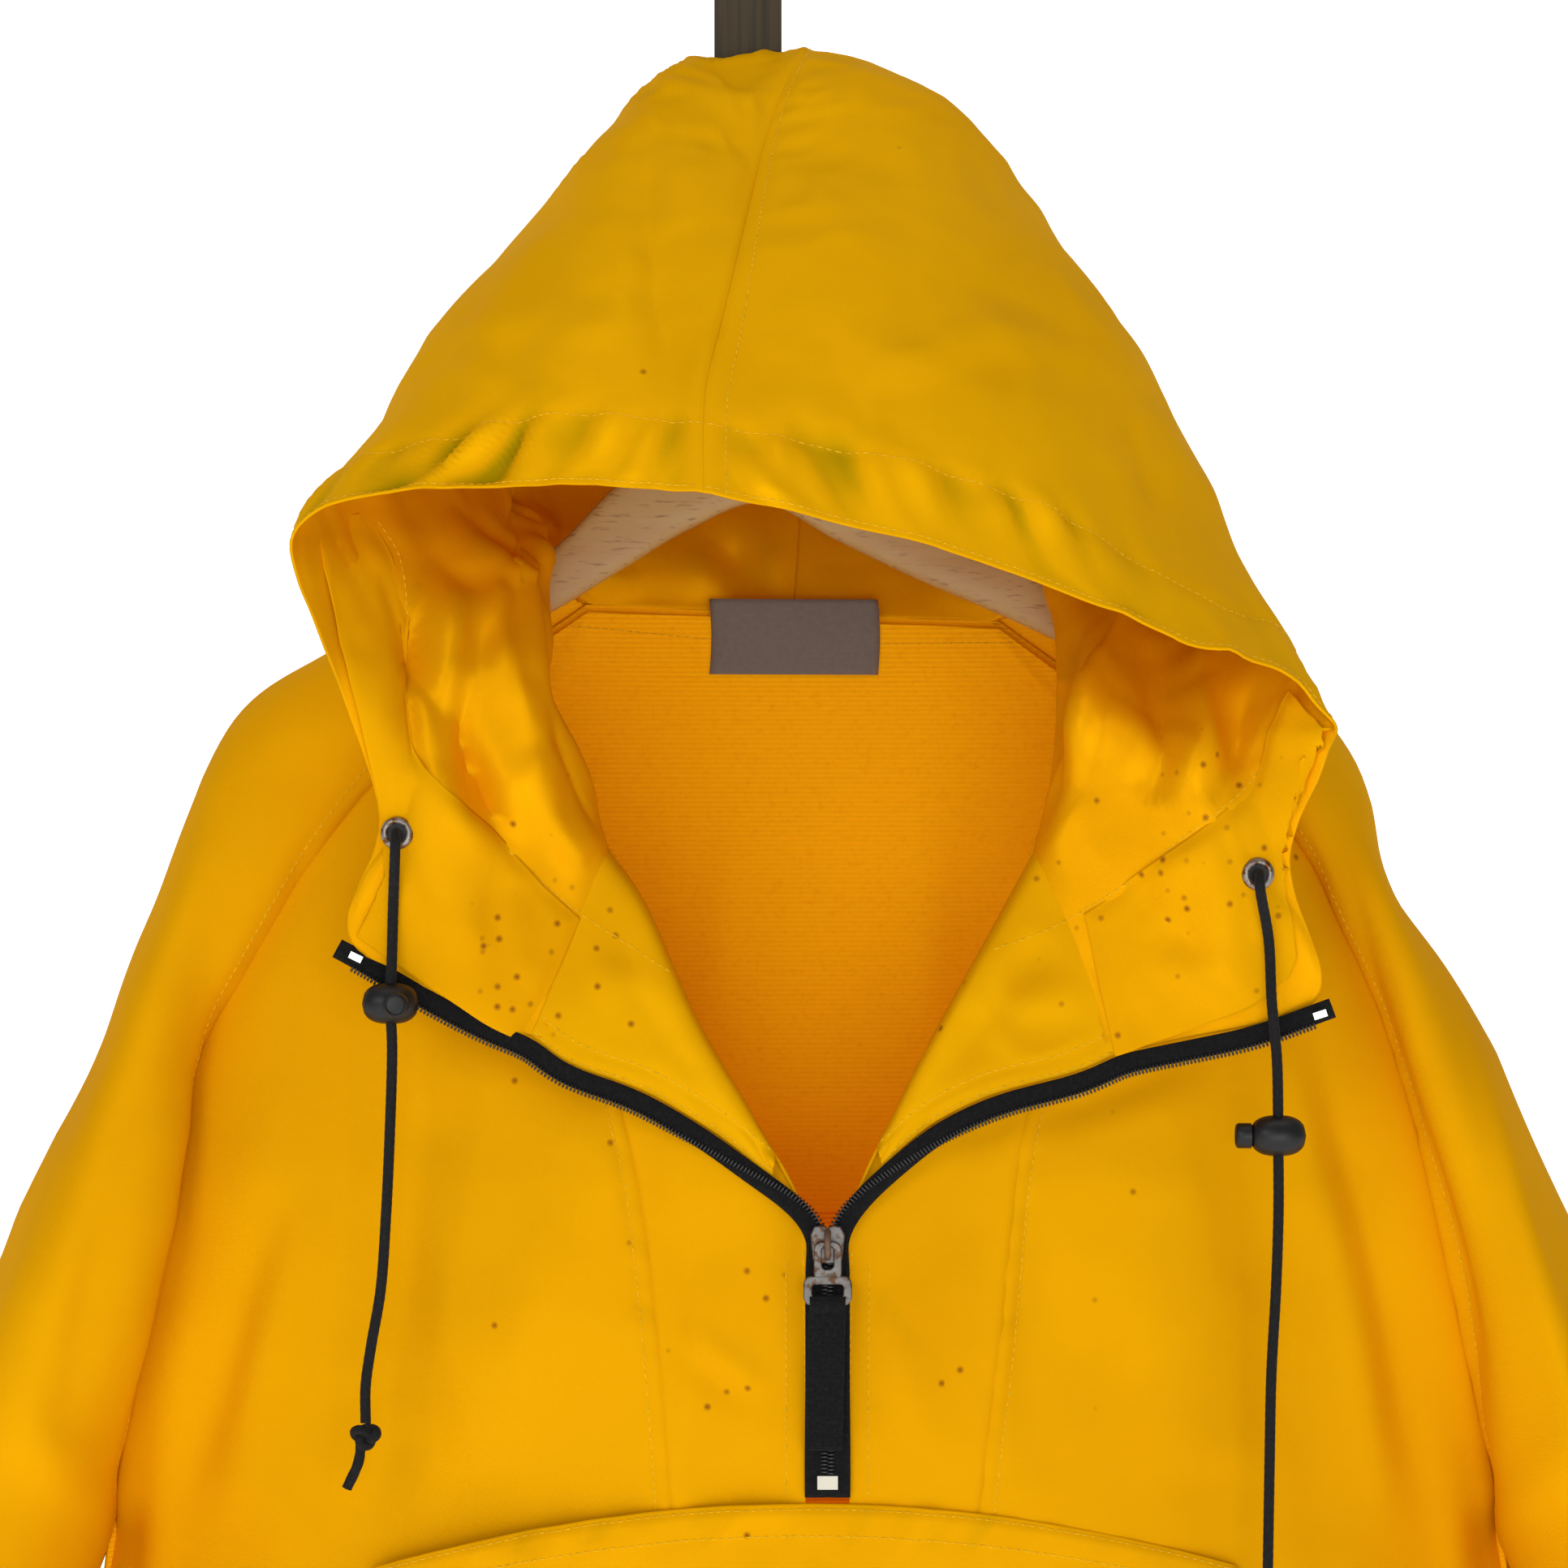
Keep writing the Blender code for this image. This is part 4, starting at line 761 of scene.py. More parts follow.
def neckline(side):
    """The neck seam from the zip to the centre of the back, and the hood station of each point."""
    facing = facing_row(side, 0.0, 3)
    chest = centre_row(side, 0.0, 3) + side_row(side, 0.0, 8)[1:]
    shoulder = sleeve_row(side, 0.0, 14)
    back = back_row(0.0, 16)
    back = back[:9] if side is LEFT else back[:7:-1]
    pieces = (
        (facing[::-1], 0, 2),
        (chest[:5], 2, 3),
        (chest[4::3], 3, 4),
        (shoulder[::2], 4, 5),
        (back[::2], 5, 6),
    )
    points, levels = [], []
    for piece, start, end in pieces:
        share = run_along(np.array(piece))
        share = share / share[-1]
        points += list(piece[:-1])
        levels += list(start + (end - start) * share[:-1])
    return np.array(points + [back[-1]]), np.array(levels + [6.0])


def hood_grid(side, along=2):
    """The hood panel: rows from the neckline to the top seam, columns from the edge to the back."""
    seam, levels = neckline(side)
    rows = [seam] + [spline(section, levels) for section in side.hood]
    rows = np.array(rows)
    return spline(rows, np.arange(0, (len(rows) - 1) * along + 1) / along)


def on_tape(side, row):
    point = on_front(side.line("zip", row))
    point[1] -= side.lift(LIFT_ZIP, row)
    return point


def zip_route(side):
    """The middle of one zip tape, from its top in the hood to its end behind the pouch."""
    grid = hood_grid(side)
    points = []
    for row in (2, 1):
        out = grid[row, 0] - grid[row, 1]
        points.append(grid[row, 0] + out / np.linalg.norm(out) * TAPE_HALF)
    points += [on_tape(side, row) for row in np.arange(0, ZIP_END_ROW - 0.1, 0.25)]
    points.append(on_tape(side, ZIP_END_ROW))
    return points


# ---------------------------------------------------------------- relief


def ripple(points, size, seed):
    """Smooth uneven relief between -1 and 1, with one wave length, or one each for X, Y and Z."""
    lattice = np.random.default_rng(seed).uniform(-1.0, 1.0, (LATTICE,) * 3)
    place = points / np.asarray(size, float)
    cell = np.floor(place).astype(int)
    share = place - cell
    share = share * share * (3.0 - 2.0 * share)
    total = np.zeros(points.shape[:-1])
    for corner in np.ndindex(2, 2, 2):
        weight = np.prod(np.where(corner, share, 1.0 - share), axis=-1)
        at = (cell + corner) % LATTICE
        total += weight * lattice[at[..., 0], at[..., 1], at[..., 2]]
    return total


def crumple(points, size, seed):
    """Creased relief: sharp little ridges between soft hollows, from 0 to 1."""
    bend = np.stack([ripple(points, size * 2.2, seed + k) for k in (1, 2, 3)], axis=-1)
    return 1.0 - np.sqrt(ripple(points + bend * size * 0.6, size, seed) ** 2 + 0.008) * 1.6


def crease_relief(x, z, creases):
    """Troughs and ridges from a table of start, end, half width, depth and bow."""
    total = np.zeros_like(x)
    for start, end, half, depth, bow in creases:
        off, middle = from_line(x, z, start, end)
        fade = np.clip(middle, 0.0, 1.0) ** 0.8
        total += depth * fade * np.exp(-np.abs((off - bow * middle) / half) ** 1.6)
    return total


def stations(length, step):
    """Distances across a panel, closer together near both seams, where it rolls and is sewn."""
    near = np.array(SEAM_STEPS)
    count = max(2, round((length - 2 * near[-1]) / step) + 1)
    middle = np.linspace(near[-1], length - near[-1], count)
    return np.concatenate([near[:-1], middle, length - near[-2::-1]])


def grow_lengths(points, axis):
    steps = np.linalg.norm(np.diff(points, axis=axis), axis=2)
    total = np.cumsum(steps, axis=axis)
    pad = [(0, 0), (0, 0)]
    pad[axis] = (1, 0)
    return np.pad(total, pad)


def settled(points):
    """Points moved a little in x and z, by the table of places where the cloth has sagged or slid."""
    points = np.array(points, float)
    x, z = points[..., 0].copy(), points[..., 2].copy()
    for centre_x, centre_z, radius, across, up in SETTLING:
        share = patch_share(x, z, centre_x, centre_z, radius)
        points[..., 0] += across * share
        points[..., 2] += up * share
    return points


class Panel:
    """A cut piece of cloth as a fine grid, with each point's distance from its four edges."""

    def __init__(self, coarse, step, outward):
        coarse = np.asarray(coarse, float)
        down = grow_lengths(coarse, 0).mean(axis=1)
        over = grow_lengths(coarse, 1).mean(axis=0)
        rows = np.interp(stations(down[-1], step), down, np.arange(len(down)))
        cols = np.interp(stations(over[-1], step), over, np.arange(len(over)))
        fine = spline(coarse, rows)
        fine = settled(spline(fine.transpose(1, 0, 2), cols).transpose(1, 0, 2))
        self.points = fine
        self.x, self.y, self.z = np.moveaxis(fine, -1, 0)
        self.cols = cols
        self.outward = outward
        self.normals = normals_of(fine) * outward
        over, down = grow_lengths(fine, 1), grow_lengths(fine, 0)
        self.edges = {
            "start": over,
            "end": over[:, -1:] - over,
            "top": down,
            "bottom": down[-1:] - down,
        }
        self.shift = np.zeros(fine.shape)
        self.height = np.zeros(fine.shape[:2])
        self.fine = np.zeros(fine.shape[:2])
        self.stain = np.zeros(fine.shape[:2])

    def towards(self):
        """1 where the front of the garment sees the outside of this panel, -1 where its inside."""
        return np.clip(-3.0 * self.normals[..., 1], -1.0, 1.0)

    def hold(self, *names):
        """The drape dies away towards these edges, so that neighbours meet."""
        for name in names:
            share = 1.0 - bell(self.edges[name], HOLD_WIDTH)
            self.height *= share
            self.fine *= share

    def seam(self, *names, roll=SEAM_ROLL):
        """The cloth rolls under at these edges."""
        for name in names:
            self.height -= roll * bell(self.edges[name], SEAM_ROLL_WIDTH)

    def tuck(self, name, reach=3.5, depth=1.3):
        """The cloth goes on past this edge, under its neighbour."""
        edge, inner = {
            "start": (np.s_[:, 0], np.s_[:, 2]),
            "end": (np.s_[:, -1], np.s_[:, -3]),
            "top": (np.s_[0], np.s_[2]),
            "bottom": (np.s_[-1], np.s_[-3]),
        }[name]
        way = self.points[edge] - self.points[inner]
        way /= np.linalg.norm(way, axis=-1, keepdims=True)
        self.shift[edge] += way * reach
        self.height[edge] -= depth

    def pucker(self, relief, shade=1.0):
        """Fine creases, which also hold the shadow colour."""
        self.height += relief
        self.fine += relief * shade

    def ladder(self, name, near, far, size, amount):
        """Short puckers across the strip between two distances from an edge."""
        off = self.edges[name]
        along = self.edges["top" if name in ("start", "end") else "start"]
        lined = np.stack([along + 0.25 * off, 0.3 * off, 0.0 * off], axis=-1)
        middle, half = (near + far) / 2, (far - near) / 2
        strip = np.exp(-np.clip(np.abs(off - middle) - half, 0, None) ** 2 / 8.0)
        self.pucker(amount * strip * ripple(lined, size, 17))

    def topstitch(self, name, offset):
        """The cloth sinks along a row of stitches."""
        self.height -= TOPSTITCH_SINK * bell(self.edges[name] - offset, 1.0)

    def creased(self, creases):
        """Folds placed from a table of creases."""
        self.height += crease_relief(self.x, self.z, creases)

    def soften(self, *folds):
        """Soft uneven folds, each with its size, its height and its seed."""
        for size, amount, seed in folds:
            self.height += amount * ripple(self.points, size, seed)

    def crumpled(self, size, amount, seed):
        """Small sharp folds that don't hold the shadow colour."""
        self.height += amount * (crumple(self.points, size, seed) - 0.5)

    def finished(self):
        """Points moved out by the relief, and a share from 0 in hollows to 1 on ridges."""
        moved = self.points + self.shift + self.normals * self.height[..., None]
        return moved, np.clip(0.5 + self.fine / 8.0, 0.0, 1.0)

    def offset_line(self, name, offset):
        """A line that keeps its distance from one edge, as points and normals."""
        moved, _ = self.finished()
        normals = normals_of(moved) * np.sign((normals_of(moved) * self.normals).sum(-1, keepdims=True))
        if name in ("start", "end"):
            tracks = zip(self.edges[name], moved, normals)
        else:
            tracks = zip(self.edges[name].T, moved.transpose(1, 0, 2), normals.transpose(1, 0, 2))
        line = []
        for off, spots, ways in tracks:
            order = np.argsort(off)
            line.append([read_at(offset, off[order], values[order]) for values in (spots, ways)])
        return np.array(line)


PANELS = {}
SURFACES = {}
FINISHES = {}


def cad_box(node):
    """The two far corners of a frame node's box, in millimetres."""
    return [np.array(corner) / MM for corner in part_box(node)]


def cad_middle(node):
    low, high = cad_box(node)
    return (low + high) / 2


def mesh_piece(name, points, faces, finish):
    """A smooth mesh from points in millimetres, with a finish by its name."""
    mesh = bpy.data.meshes.new(name)
    mesh.from_pydata((np.asarray(points, float).reshape(-1, 3) * MM).tolist(), [], faces)
    mesh.shade_smooth()
    mesh.set_sharp_from_angle(angle=math.radians(SHARP_ANGLE))
    mesh.materials.append(FINISHES[finish])
    piece = bpy.data.objects.new(name, mesh)
    bpy.context.scene.collection.objects.link(piece)
    return piece


def recolour(node, finish):
    """Gives a frame node that stays as it is its finish."""
    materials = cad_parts[node].data.materials
    materials.clear()
    materials.append(FINISHES[finish])


def as_piece(piece, body, nodes):
    """Ties a piece to its body, and hides the frame nodes that it stands for."""
    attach(piece, body)
    if nodes:
        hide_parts(*nodes)
    return piece


def thicken(piece, wall, offset=0.0):
    thick = piece.modifiers.new("Cloth", "SOLIDIFY")
    thick.thickness = wall * MM
    thick.offset = offset
    return thick


def grid_faces(rows, cols, closed=False, capped=False):
    """Faces between the rows of a grid; closed joins its sides into a tube, capped fills both ends."""
    index = np.arange(rows * cols).reshape(rows, cols)
    if closed:
        index = np.hstack([index, index[:, :1]])
    quads = np.stack([index[:-1, :-1], index[:-1, 1:], index[1:, 1:], index[1:, :-1]], axis=-1)
    faces = quads.reshape(-1, 4).tolist()
    if capped:
        faces.append(list(range(cols)))
        faces.append([(rows - 1) * cols + j for j in reversed(range(cols))])
    return faces


def cloth_piece(name, panel, finish, nodes, wall=None, inside=None):
    """A thin shell of cloth in place of its solids."""
    moved, ridge = panel.finished()
    rows, cols = moved.shape[:2]
    faces = grid_faces(rows, cols)
    if panel.outward < 0:
        faces = [face[::-1] for face in faces]
    piece = mesh_piece(name, moved, faces, finish)
    for label, values in (("ridge", ridge), ("stain", np.clip(panel.stain, 0, 1))):
        layer = piece.data.attributes.new(label, "FLOAT", "POINT")
        layer.data.foreach_set("value", values.reshape(-1).astype(np.float32))
    PANELS[name] = panel
    SURFACES[name] = BVHTree.FromPolygons(
        [Vector(p) for p in moved.reshape(-1, 3)], grid_faces(rows, cols))
    thick = thicken(piece, wall or make().cloth_wall / MM)
    if inside:
        piece.data.materials.append(FINISHES[inside])
        thick.material_offset = 1
    as_piece(piece, GARMENT, nodes)
    return piece


def tube_points(route, radius, sides, wave, pitch):
    """Rings around a route; wave raises a braid's herringbone out of the surface."""
    route = np.asarray(route, float)
    run = run_along(route)
    ahead = np.gradient(route, axis=0)
    ahead /= np.linalg.norm(ahead, axis=1, keepdims=True)
    side = np.cross(ahead[0], (0.0, 1.0, 0.3))
    points = []
    for k, at in enumerate(route):
        side = side - ahead[k] * side.dot(ahead[k])
        side /= np.linalg.norm(side)
        up = np.cross(ahead[k], side)
        for j in range(sides):
            angle = 2 * math.pi * j / sides
            twist = 2 * math.pi * run[k] / pitch
            bump = max(math.sin(4 * angle + twist), math.sin(4 * angle - twist))
            reach = radius * (1.0 + wave * bump)
            points.append(at + reach * (math.cos(angle) * side + math.sin(angle) * up))
    return points


def tube_piece(name, route, radius, finish, sides, wave=0.0, pitch=1.0):
    points = tube_points(route, radius, sides, wave, pitch)
    return mesh_piece(name, points, grid_faces(len(route), sides, closed=True, capped=True), finish)


def even_route(points, step):
    """The route through points as evenly spaced places."""
    dense = spline(np.asarray(points, float), np.linspace(0, len(points) - 1, 40 * len(points)))
    run = run_along(dense)
    at = np.linspace(0, run[-1], max(2, round(run[-1] / step) + 1))
    return read_at(at, run, dense)


def rounded_plate(name, outline, y, half, bevel, holes=()):
    """A plate of dark metal with an outline in x and z, holes through it, and softened edges."""
    curve = bpy.data.curves.new(name, "CURVE")
    curve.dimensions = "2D"
    curve.fill_mode = "BOTH"
    curve.extrude = (half - bevel) * MM
    curve.bevel_depth = bevel * MM
    curve.bevel_resolution = 3
    for loop in (outline, *holes):
        line = curve.splines.new("POLY")
        line.points.add(len(loop) - 1)
        for point, (x, z) in zip(line.points, loop):
            point.co = (x * MM, z * MM, 0.0, 1.0)
        line.use_cyclic_u = True
    piece = bpy.data.objects.new(name, curve)
    bpy.context.scene.collection.objects.link(piece)
    upright = Matrix.Rotation(math.pi / 2, 4, "X")
    piece.matrix_world = Matrix.Translation((0, y * MM, 0)) @ upright
    curve.materials.append(FINISHES["gunmetal"])
    return piece


def rounded_outline(centre, size, radius, steps=6):
    """A rectangle with round corners, as x and z points."""
    points = []
    for turn, (sx, sz) in enumerate(((1, 1), (-1, 1), (-1, -1), (1, -1))):
        corner = (centre[0] + sx * (size[0] / 2 - radius), centre[1] + sz * (size[1] / 2 - radius))
        for k in range(steps + 1):
            angle = math.pi / 2 * (turn + k / steps)
            points.append((corner[0] + radius * math.cos(angle), corner[1] + radius * math.sin(angle)))
    return points


# ---------------------------------------------------------------- materials


class Finish:
    """A node material built step by step around one Principled shader."""

    def __init__(self, name, colour, roughness, metallic=0.0, sheen=0.0, coat=0.0, specular=0.5):
        self.material = bpy.data.materials.new(name)
        self.material.use_nodes = True
        FINISHES[name] = self.material
        self.nodes = self.material.node_tree.nodes
        self.links = self.material.node_tree.links
        self.shader = self.nodes["Principled BSDF"]
        self.shader.inputs["Base Color"].default_value = (*colour, 1.0)
        self.shader.inputs["Roughness"].default_value = roughness
        self.shader.inputs["Metallic"].default_value = metallic
        self.shader.inputs["Sheen Weight"].default_value = sheen
        self.shader.inputs["Coat Weight"].default_value = coat
        self.shader.inputs["Specular IOR Level"].default_value = specular
        self.place = self.nodes.new("ShaderNodeTexCoord").outputs["Object"]
        self.normal = None

    def node(self, kind, inputs=(), **settings):
        made = self.nodes.new(kind)
        for key, value in settings.items():
            setattr(made, key, value)
        for key, value in dict(inputs).items():
            if isinstance(value, bpy.types.NodeSocket):
                self.links.new(value, made.inputs[key])
            else:
                made.inputs[key].default_value = value
        return made

    def stretched(self, scale):
        made = self.node("ShaderNodeMapping", {"Vector": self.place, "Scale": scale})
        return made.outputs["Vector"]

    def noise(self, scale, detail=3.0, stretch=(1.0, 1.0, 1.0), roughness=0.5):
        return self.node("ShaderNodeTexNoise", {
            "Vector": self.stretched(stretch), "Scale": scale, "Detail": detail,
            "Roughness": roughness}).outputs["Fac"]

    def wave(self, scale, axis, distortion=0.0, detail=0.0, detail_scale=1.0):
        return self.node("ShaderNodeTexWave", {
            "Vector": self.place, "Scale": scale, "Distortion": distortion,
            "Detail": detail, "Detail Scale": detail_scale},
            wave_type="BANDS", bands_direction=axis).outputs["Fac"]

    def attribute(self, name):
        return self.node("ShaderNodeAttribute", attribute_name=name).outputs["Fac"]

    def ramp(self, value, low, high):
        """From 0 where the value is low to 1 where it is high."""
        return self.node("ShaderNodeMapRange", {
            "Value": value, "From Min": low, "From Max": high}).outputs["Result"]

    def maths(self, operation, a, b):
        return self.node("ShaderNodeMath", {0: a, 1: b}, operation=operation).outputs["Value"]

    def tint(self, share, colour):
        """Mixes a colour over what the base colour has so far, where share is 1."""
        socket = self.shader.inputs["Base Color"]
        base = socket.links[0].from_socket if socket.is_linked else tuple(socket.default_value)
        mix = self.nodes.new("ShaderNodeMix")
        mix.data_type = "RGBA"
        self.links.new(share, mix.inputs["Factor"])
        if isinstance(base, tuple):
            mix.inputs["A"].default_value = base
        else:
            self.links.new(base, mix.inputs["A"])
        mix.inputs["B"].default_value = (*colour, 1.0)
        self.links.new(mix.outputs["Result"], socket)

    def bump(self, height, distance, strength=1.0):
        made = self.node("ShaderNodeBump", {
            "Height": height, "Distance": distance * MM, "Strength": strength})
        if self.normal:
            self.links.new(self.normal, made.inputs["Normal"])
        self.normal = made.outputs["Normal"]
        self.links.new(self.normal, self.shader.inputs["Normal"])

    def rough(self, value, low, high):
        """Roughness between two limits."""
        spread = self.node("ShaderNodeMapRange", {"Value": value, "To Min": low, "To Max": high})
        self.links.new(spread.outputs["Result"], self.shader.inputs["Roughness"])

    def glow(self, colour, strength):
        self.shader.inputs["Emission Color"].default_value = (*colour, 1.0)
        self.shader.inputs["Emission Strength"].default_value = strength


def shell_finish(name, colour, shade, gloss, metallic=0.1):
    """Close-woven cotton and nylon: thread relief, random darker patches, painted olive shade in the
    hollows of fine creases, painted highlight on their ridges, rust specks and a soft sheen.
    """
    cloth = Finish(name, colour, 0.55, metallic, specular=0.0)
    cloth.tint(cloth.ramp(cloth.noise(9.0, 4.0), 0.42, 0.75), shade)
    # Painted shade: olive darkening in the hollows of the fine creases, read from the ridge share.
    cloth.tint(cloth.ramp(cloth.attribute("ridge"), 0.48, 0.12), (0.40, 0.25, 0.001))
    # Painted highlight: a paler copy of the cloth colour on the ridges of the fine creases.
    pale = tuple(min(1.0, c * 1.10) for c in colour)
    cloth.tint(cloth.ramp(cloth.attribute("ridge"), 0.53, 0.8), pale)
    spots = cloth.node("ShaderNodeTexVoronoi", {
        "Vector": cloth.place, "Scale": 150.0, "Randomness": 1.0}, feature="F1")
    dots = cloth.ramp(spots.outputs["Distance"], 0.24, 0.06)
    chance = cloth.node("ShaderNodeSeparateColor", {"Color": spots.outputs["Color"]}).outputs["Red"]
    chosen = cloth.maths("LESS_THAN", chance, cloth.attribute("stain"))
    cloth.tint(cloth.maths("MULTIPLY", dots, chosen), (0.33, 0.10, 0.006))
    cloth.bump(cloth.noise(55.0, 3.0, roughness=0.6), 1.6, 0.22)
    cloth.bump(cloth.wave(950.0, "DIAGONAL"), 0.12, 0.35)
    cloth.bump(cloth.noise(2600.0, 1.0), 0.10, 0.35)
    cloth.rough(cloth.noise(30.0, 2.0), gloss - 0.06, gloss + 0.1)


def cloth_finishes(look):
    shell, shade = tuple(look.shell_colour), tuple(look.shell_shade)
    shell_finish("shell_cloth", shell, shade, 0.55)
    # The hood and the turned-back fronts get a yellower copy of the shell cloth: a painted change of colour
    # for how they are lit, the cloth being the same.
    yellower = np.array((1.0, 1.05, 1.0))
    shell_finish("hood_cloth", tuple(shell * yellower), tuple(shade * yellower), 0.47)
    # The hood's inside is glossier, which is the cloth's own; its warmer, brighter colour is painted bounce
    # light from inside the hood.
    shell_finish("hood_inside", tuple(look.inside_colour), shade, 0.34, 0.28)
    knit = Finish("lining_knit", look.lining_colour, 0.85, specular=0.0)
    # Painted glow: a faint orange emission that stands for light coming through the thin knit.
    knit.glow((1.0, 0.36, 0.002), 0.06)
    knit.tint(knit.wave(175.0, "Z", 0.5, 2.0, 3.0), (1.0, 0.50, 0.006))
    knit.tint(knit.ramp(knit.noise(500.0, 2.0), 0.5, 0.9), (0.86, 0.38, 0.003))
    knit.bump(knit.wave(175.0, "Z", 0.5, 2.0, 3.0), 0.5, 0.55)
    knit.bump(knit.noise(1500.0, 2.0), 0.12, 0.4)
    thread = Finish("yellow_thread", look.thread_colour, 0.5, specular=0.1)
    thread.tint(thread.ramp(thread.noise(900.0), 0.4, 0.7), (0.62, 0.34, 0.008))
    thread.bump(thread.wave(1800.0, "DIAGONAL"), 0.06, 0.5)
    for name in ("zip_tape", "pull_webbing"):
        tape = Finish(name, look.black_colour, 0.8, sheen=0.03, specular=0.15)
        tape.tint(tape.ramp(tape.noise(700.0), 0.45, 0.8), (0.014, 0.014, 0.015))
        tape.bump(tape.wave(700.0 if name == "zip_tape" else 420.0, "Z", 0.6), 0.25, 0.8)
        tape.bump(tape.wave(700.0, "X", 0.6), 0.2, 0.8)
    braid = Finish("cord_braid", look.black_colour, 0.75, sheen=0.03, specular=0.2)
    braid.tint(braid.ramp(braid.noise(900.0), 0.5, 0.8), (0.016, 0.016, 0.018))
    braid.bump(braid.noise(1400.0), 0.2, 0.6)
    weave = Finish("label_weave", look.label_colour, 0.75, sheen=0.2)
    weave.tint(weave.ramp(weave.noise(500.0, 2.0), 0.4, 0.75), (0.17, 0.165, 0.15))
    weave.bump(weave.wave(900.0, "X"), 0.12, 0.7)
    weave.bump(weave.wave(700.0, "Z"), 0.12, 0.7)
    pale = Finish("cream_thread", (0.62, 0.58, 0.42), 0.6)
    pale.bump(pale.noise(1500.0), 0.05, 0.5)


def fitting_finishes(look):
    teeth = Finish("coil_teeth", (0.008, 0.008, 0.009), 0.4)
    teeth.bump(teeth.noise(1200.0), 0.05, 0.4)
    plastic = Finish("lock_plastic", (0.006, 0.006, 0.007), 0.42, specular=0.35)
    plastic.rough(plastic.noise(160.0, 3.0), 0.34, 0.5)
    plastic.bump(plastic.noise(900.0, 2.0), 0.05, 0.35)
    metal = Finish("gunmetal", (0.16, 0.15, 0.14), 0.4, metallic=0.9)
    metal.tint(metal.ramp(metal.noise(380.0, 4.0), 0.5, 0.62), (0.09, 0.05, 0.03))
    metal.rough(metal.noise(300.0, 3.0), 0.3, 0.6)
    metal.bump(metal.noise(900.0, 3.0), 0.08, 0.5)
    rust = Finish("rusty_bridge", (0.20, 0.11, 0.06), 0.6, metallic=0.6)
    rust.tint(rust.ramp(rust.noise(500.0, 4.0), 0.45, 0.6), (0.12, 0.10, 0.09))
    rust.bump(rust.noise(1100.0, 4.0), 0.15, 0.7)
    ring = Finish("eyelet_nickel", (0.30, 0.27, 0.24), 0.35, metallic=0.95)
    ring.tint(ring.ramp(ring.noise(450.0, 4.0), 0.48, 0.6), (0.16, 0.07, 0.03))
    ring.rough(ring.noise(400.0), 0.25, 0.55)
    silver = Finish("stop_silver", (0.78, 0.77, 0.74), 0.3, metallic=0.95)
    silver.rough(silver.noise(600.0), 0.22, 0.45)
    cream = Finish("stop_cream", (0.72, 0.68, 0.55), 0.5)
    cream.bump(cream.noise(800.0), 0.06, 0.4)
    wood = Finish("beech", look.wood_colour, 0.5, coat=0.05)
    wood.tint(wood.ramp(wood.noise(60.0, 4.0, (0.12, 1.0, 1.0)), 0.42, 0.65), (0.42, 0.26, 0.085))
    wood.tint(wood.ramp(wood.noise(900.0, 2.0, (0.15, 1.0, 1.0)), 0.58, 0.72), (0.29, 0.17, 0.06))
    wood.bump(wood.noise(420.0, 2.0, (0.16, 1.0, 1.0)), 0.12, 0.5)
    wood.rough(wood.noise(80.0, 2.0, (0.2, 1.0, 1.0)), 0.42, 0.6)
    steel = Finish("hook_steel", (0.58, 0.57, 0.55), 0.28, metallic=1.0)
    steel.rough(steel.noise(500.0), 0.2, 0.4)
    bar = Finish("bar_metal", look.bar_colour, 0.5, specular=0.25)
    bar.tint(bar.ramp(bar.noise(600.0, 2.0, (1.0, 1.0, 0.02)), 0.45, 0.7), (0.03, 0.024, 0.012))
    bar.bump(bar.noise(700.0, 2.0, (1.0, 1.0, 0.02)), 0.15, 0.6)
    floor = Finish("pale_floor", look.floor_colour, 0.9)
    floor.glow((1.0, 1.0, 1.0), 0.7)
    floor.tint(floor.ramp(floor.noise(3.0, 3.0), 0.4, 0.9), tuple(c * 0.98 for c in look.floor_colour))


# ---------------------------------------------------------------- settings


class AnorakLook(bpy.types.PropertyGroup):
    """Colours of the anorak and what it hangs from."""

    shell_colour: FloatVectorProperty(
        name="Shell", description="Colour of the woven shell", subtype="COLOR",
        default=(0.80, 0.368, 0.0012), min=0, max=1)
    shell_shade: FloatVectorProperty(
        name="Shell shade", description="Colour of the shell's darker patches", subtype="COLOR",
        default=(0.73, 0.325, 0.0010), min=0, max=1)
    # Warmer and brighter than the shell: painted bounce light inside the hood; the gloss is the cloth's
    # own.
    inside_colour: FloatVectorProperty(
        name="Hood inside", description="Colour of the hood's glossier inside", subtype="COLOR",
        default=(0.84, 0.37, 0.0015), min=0, max=1)
    lining_colour: FloatVectorProperty(
        name="Lining", description="Colour of the knitted lining", subtype="COLOR",
        default=(1.0, 0.47, 0.003), min=0, max=1)
    thread_colour: FloatVectorProperty(
        name="Thread", description="Colour of the sewing thread", subtype="COLOR",
        default=(0.90, 0.50, 0.015), min=0, max=1)
    black_colour: FloatVectorProperty(
        name="Black trim", description="Colour of tape, webbing and cord", subtype="COLOR",
        default=(0.006, 0.006, 0.0065), min=0, max=1)
    label_colour: FloatVectorProperty(
        name="Label", description="Colour of the blank neck label", subtype="COLOR",
        default=(0.19, 0.185, 0.16), min=0, max=1)
    wood_colour: FloatVectorProperty(
        name="Wood", description="Colour of the beech hanger", subtype="COLOR",
        default=(0.47, 0.335, 0.125), min=0, max=1)
    bar_colour: FloatVectorProperty(
        name="Bar", description="Colour of the hanging bar", subtype="COLOR",
        default=(0.055, 0.038, 0.017), min=0, max=1)
    floor_colour: FloatVectorProperty(
        name="Floor", description="Colour of the floor and the backdrop", subtype="COLOR",
        default=(0.88, 0.88, 0.88), min=0, max=1)


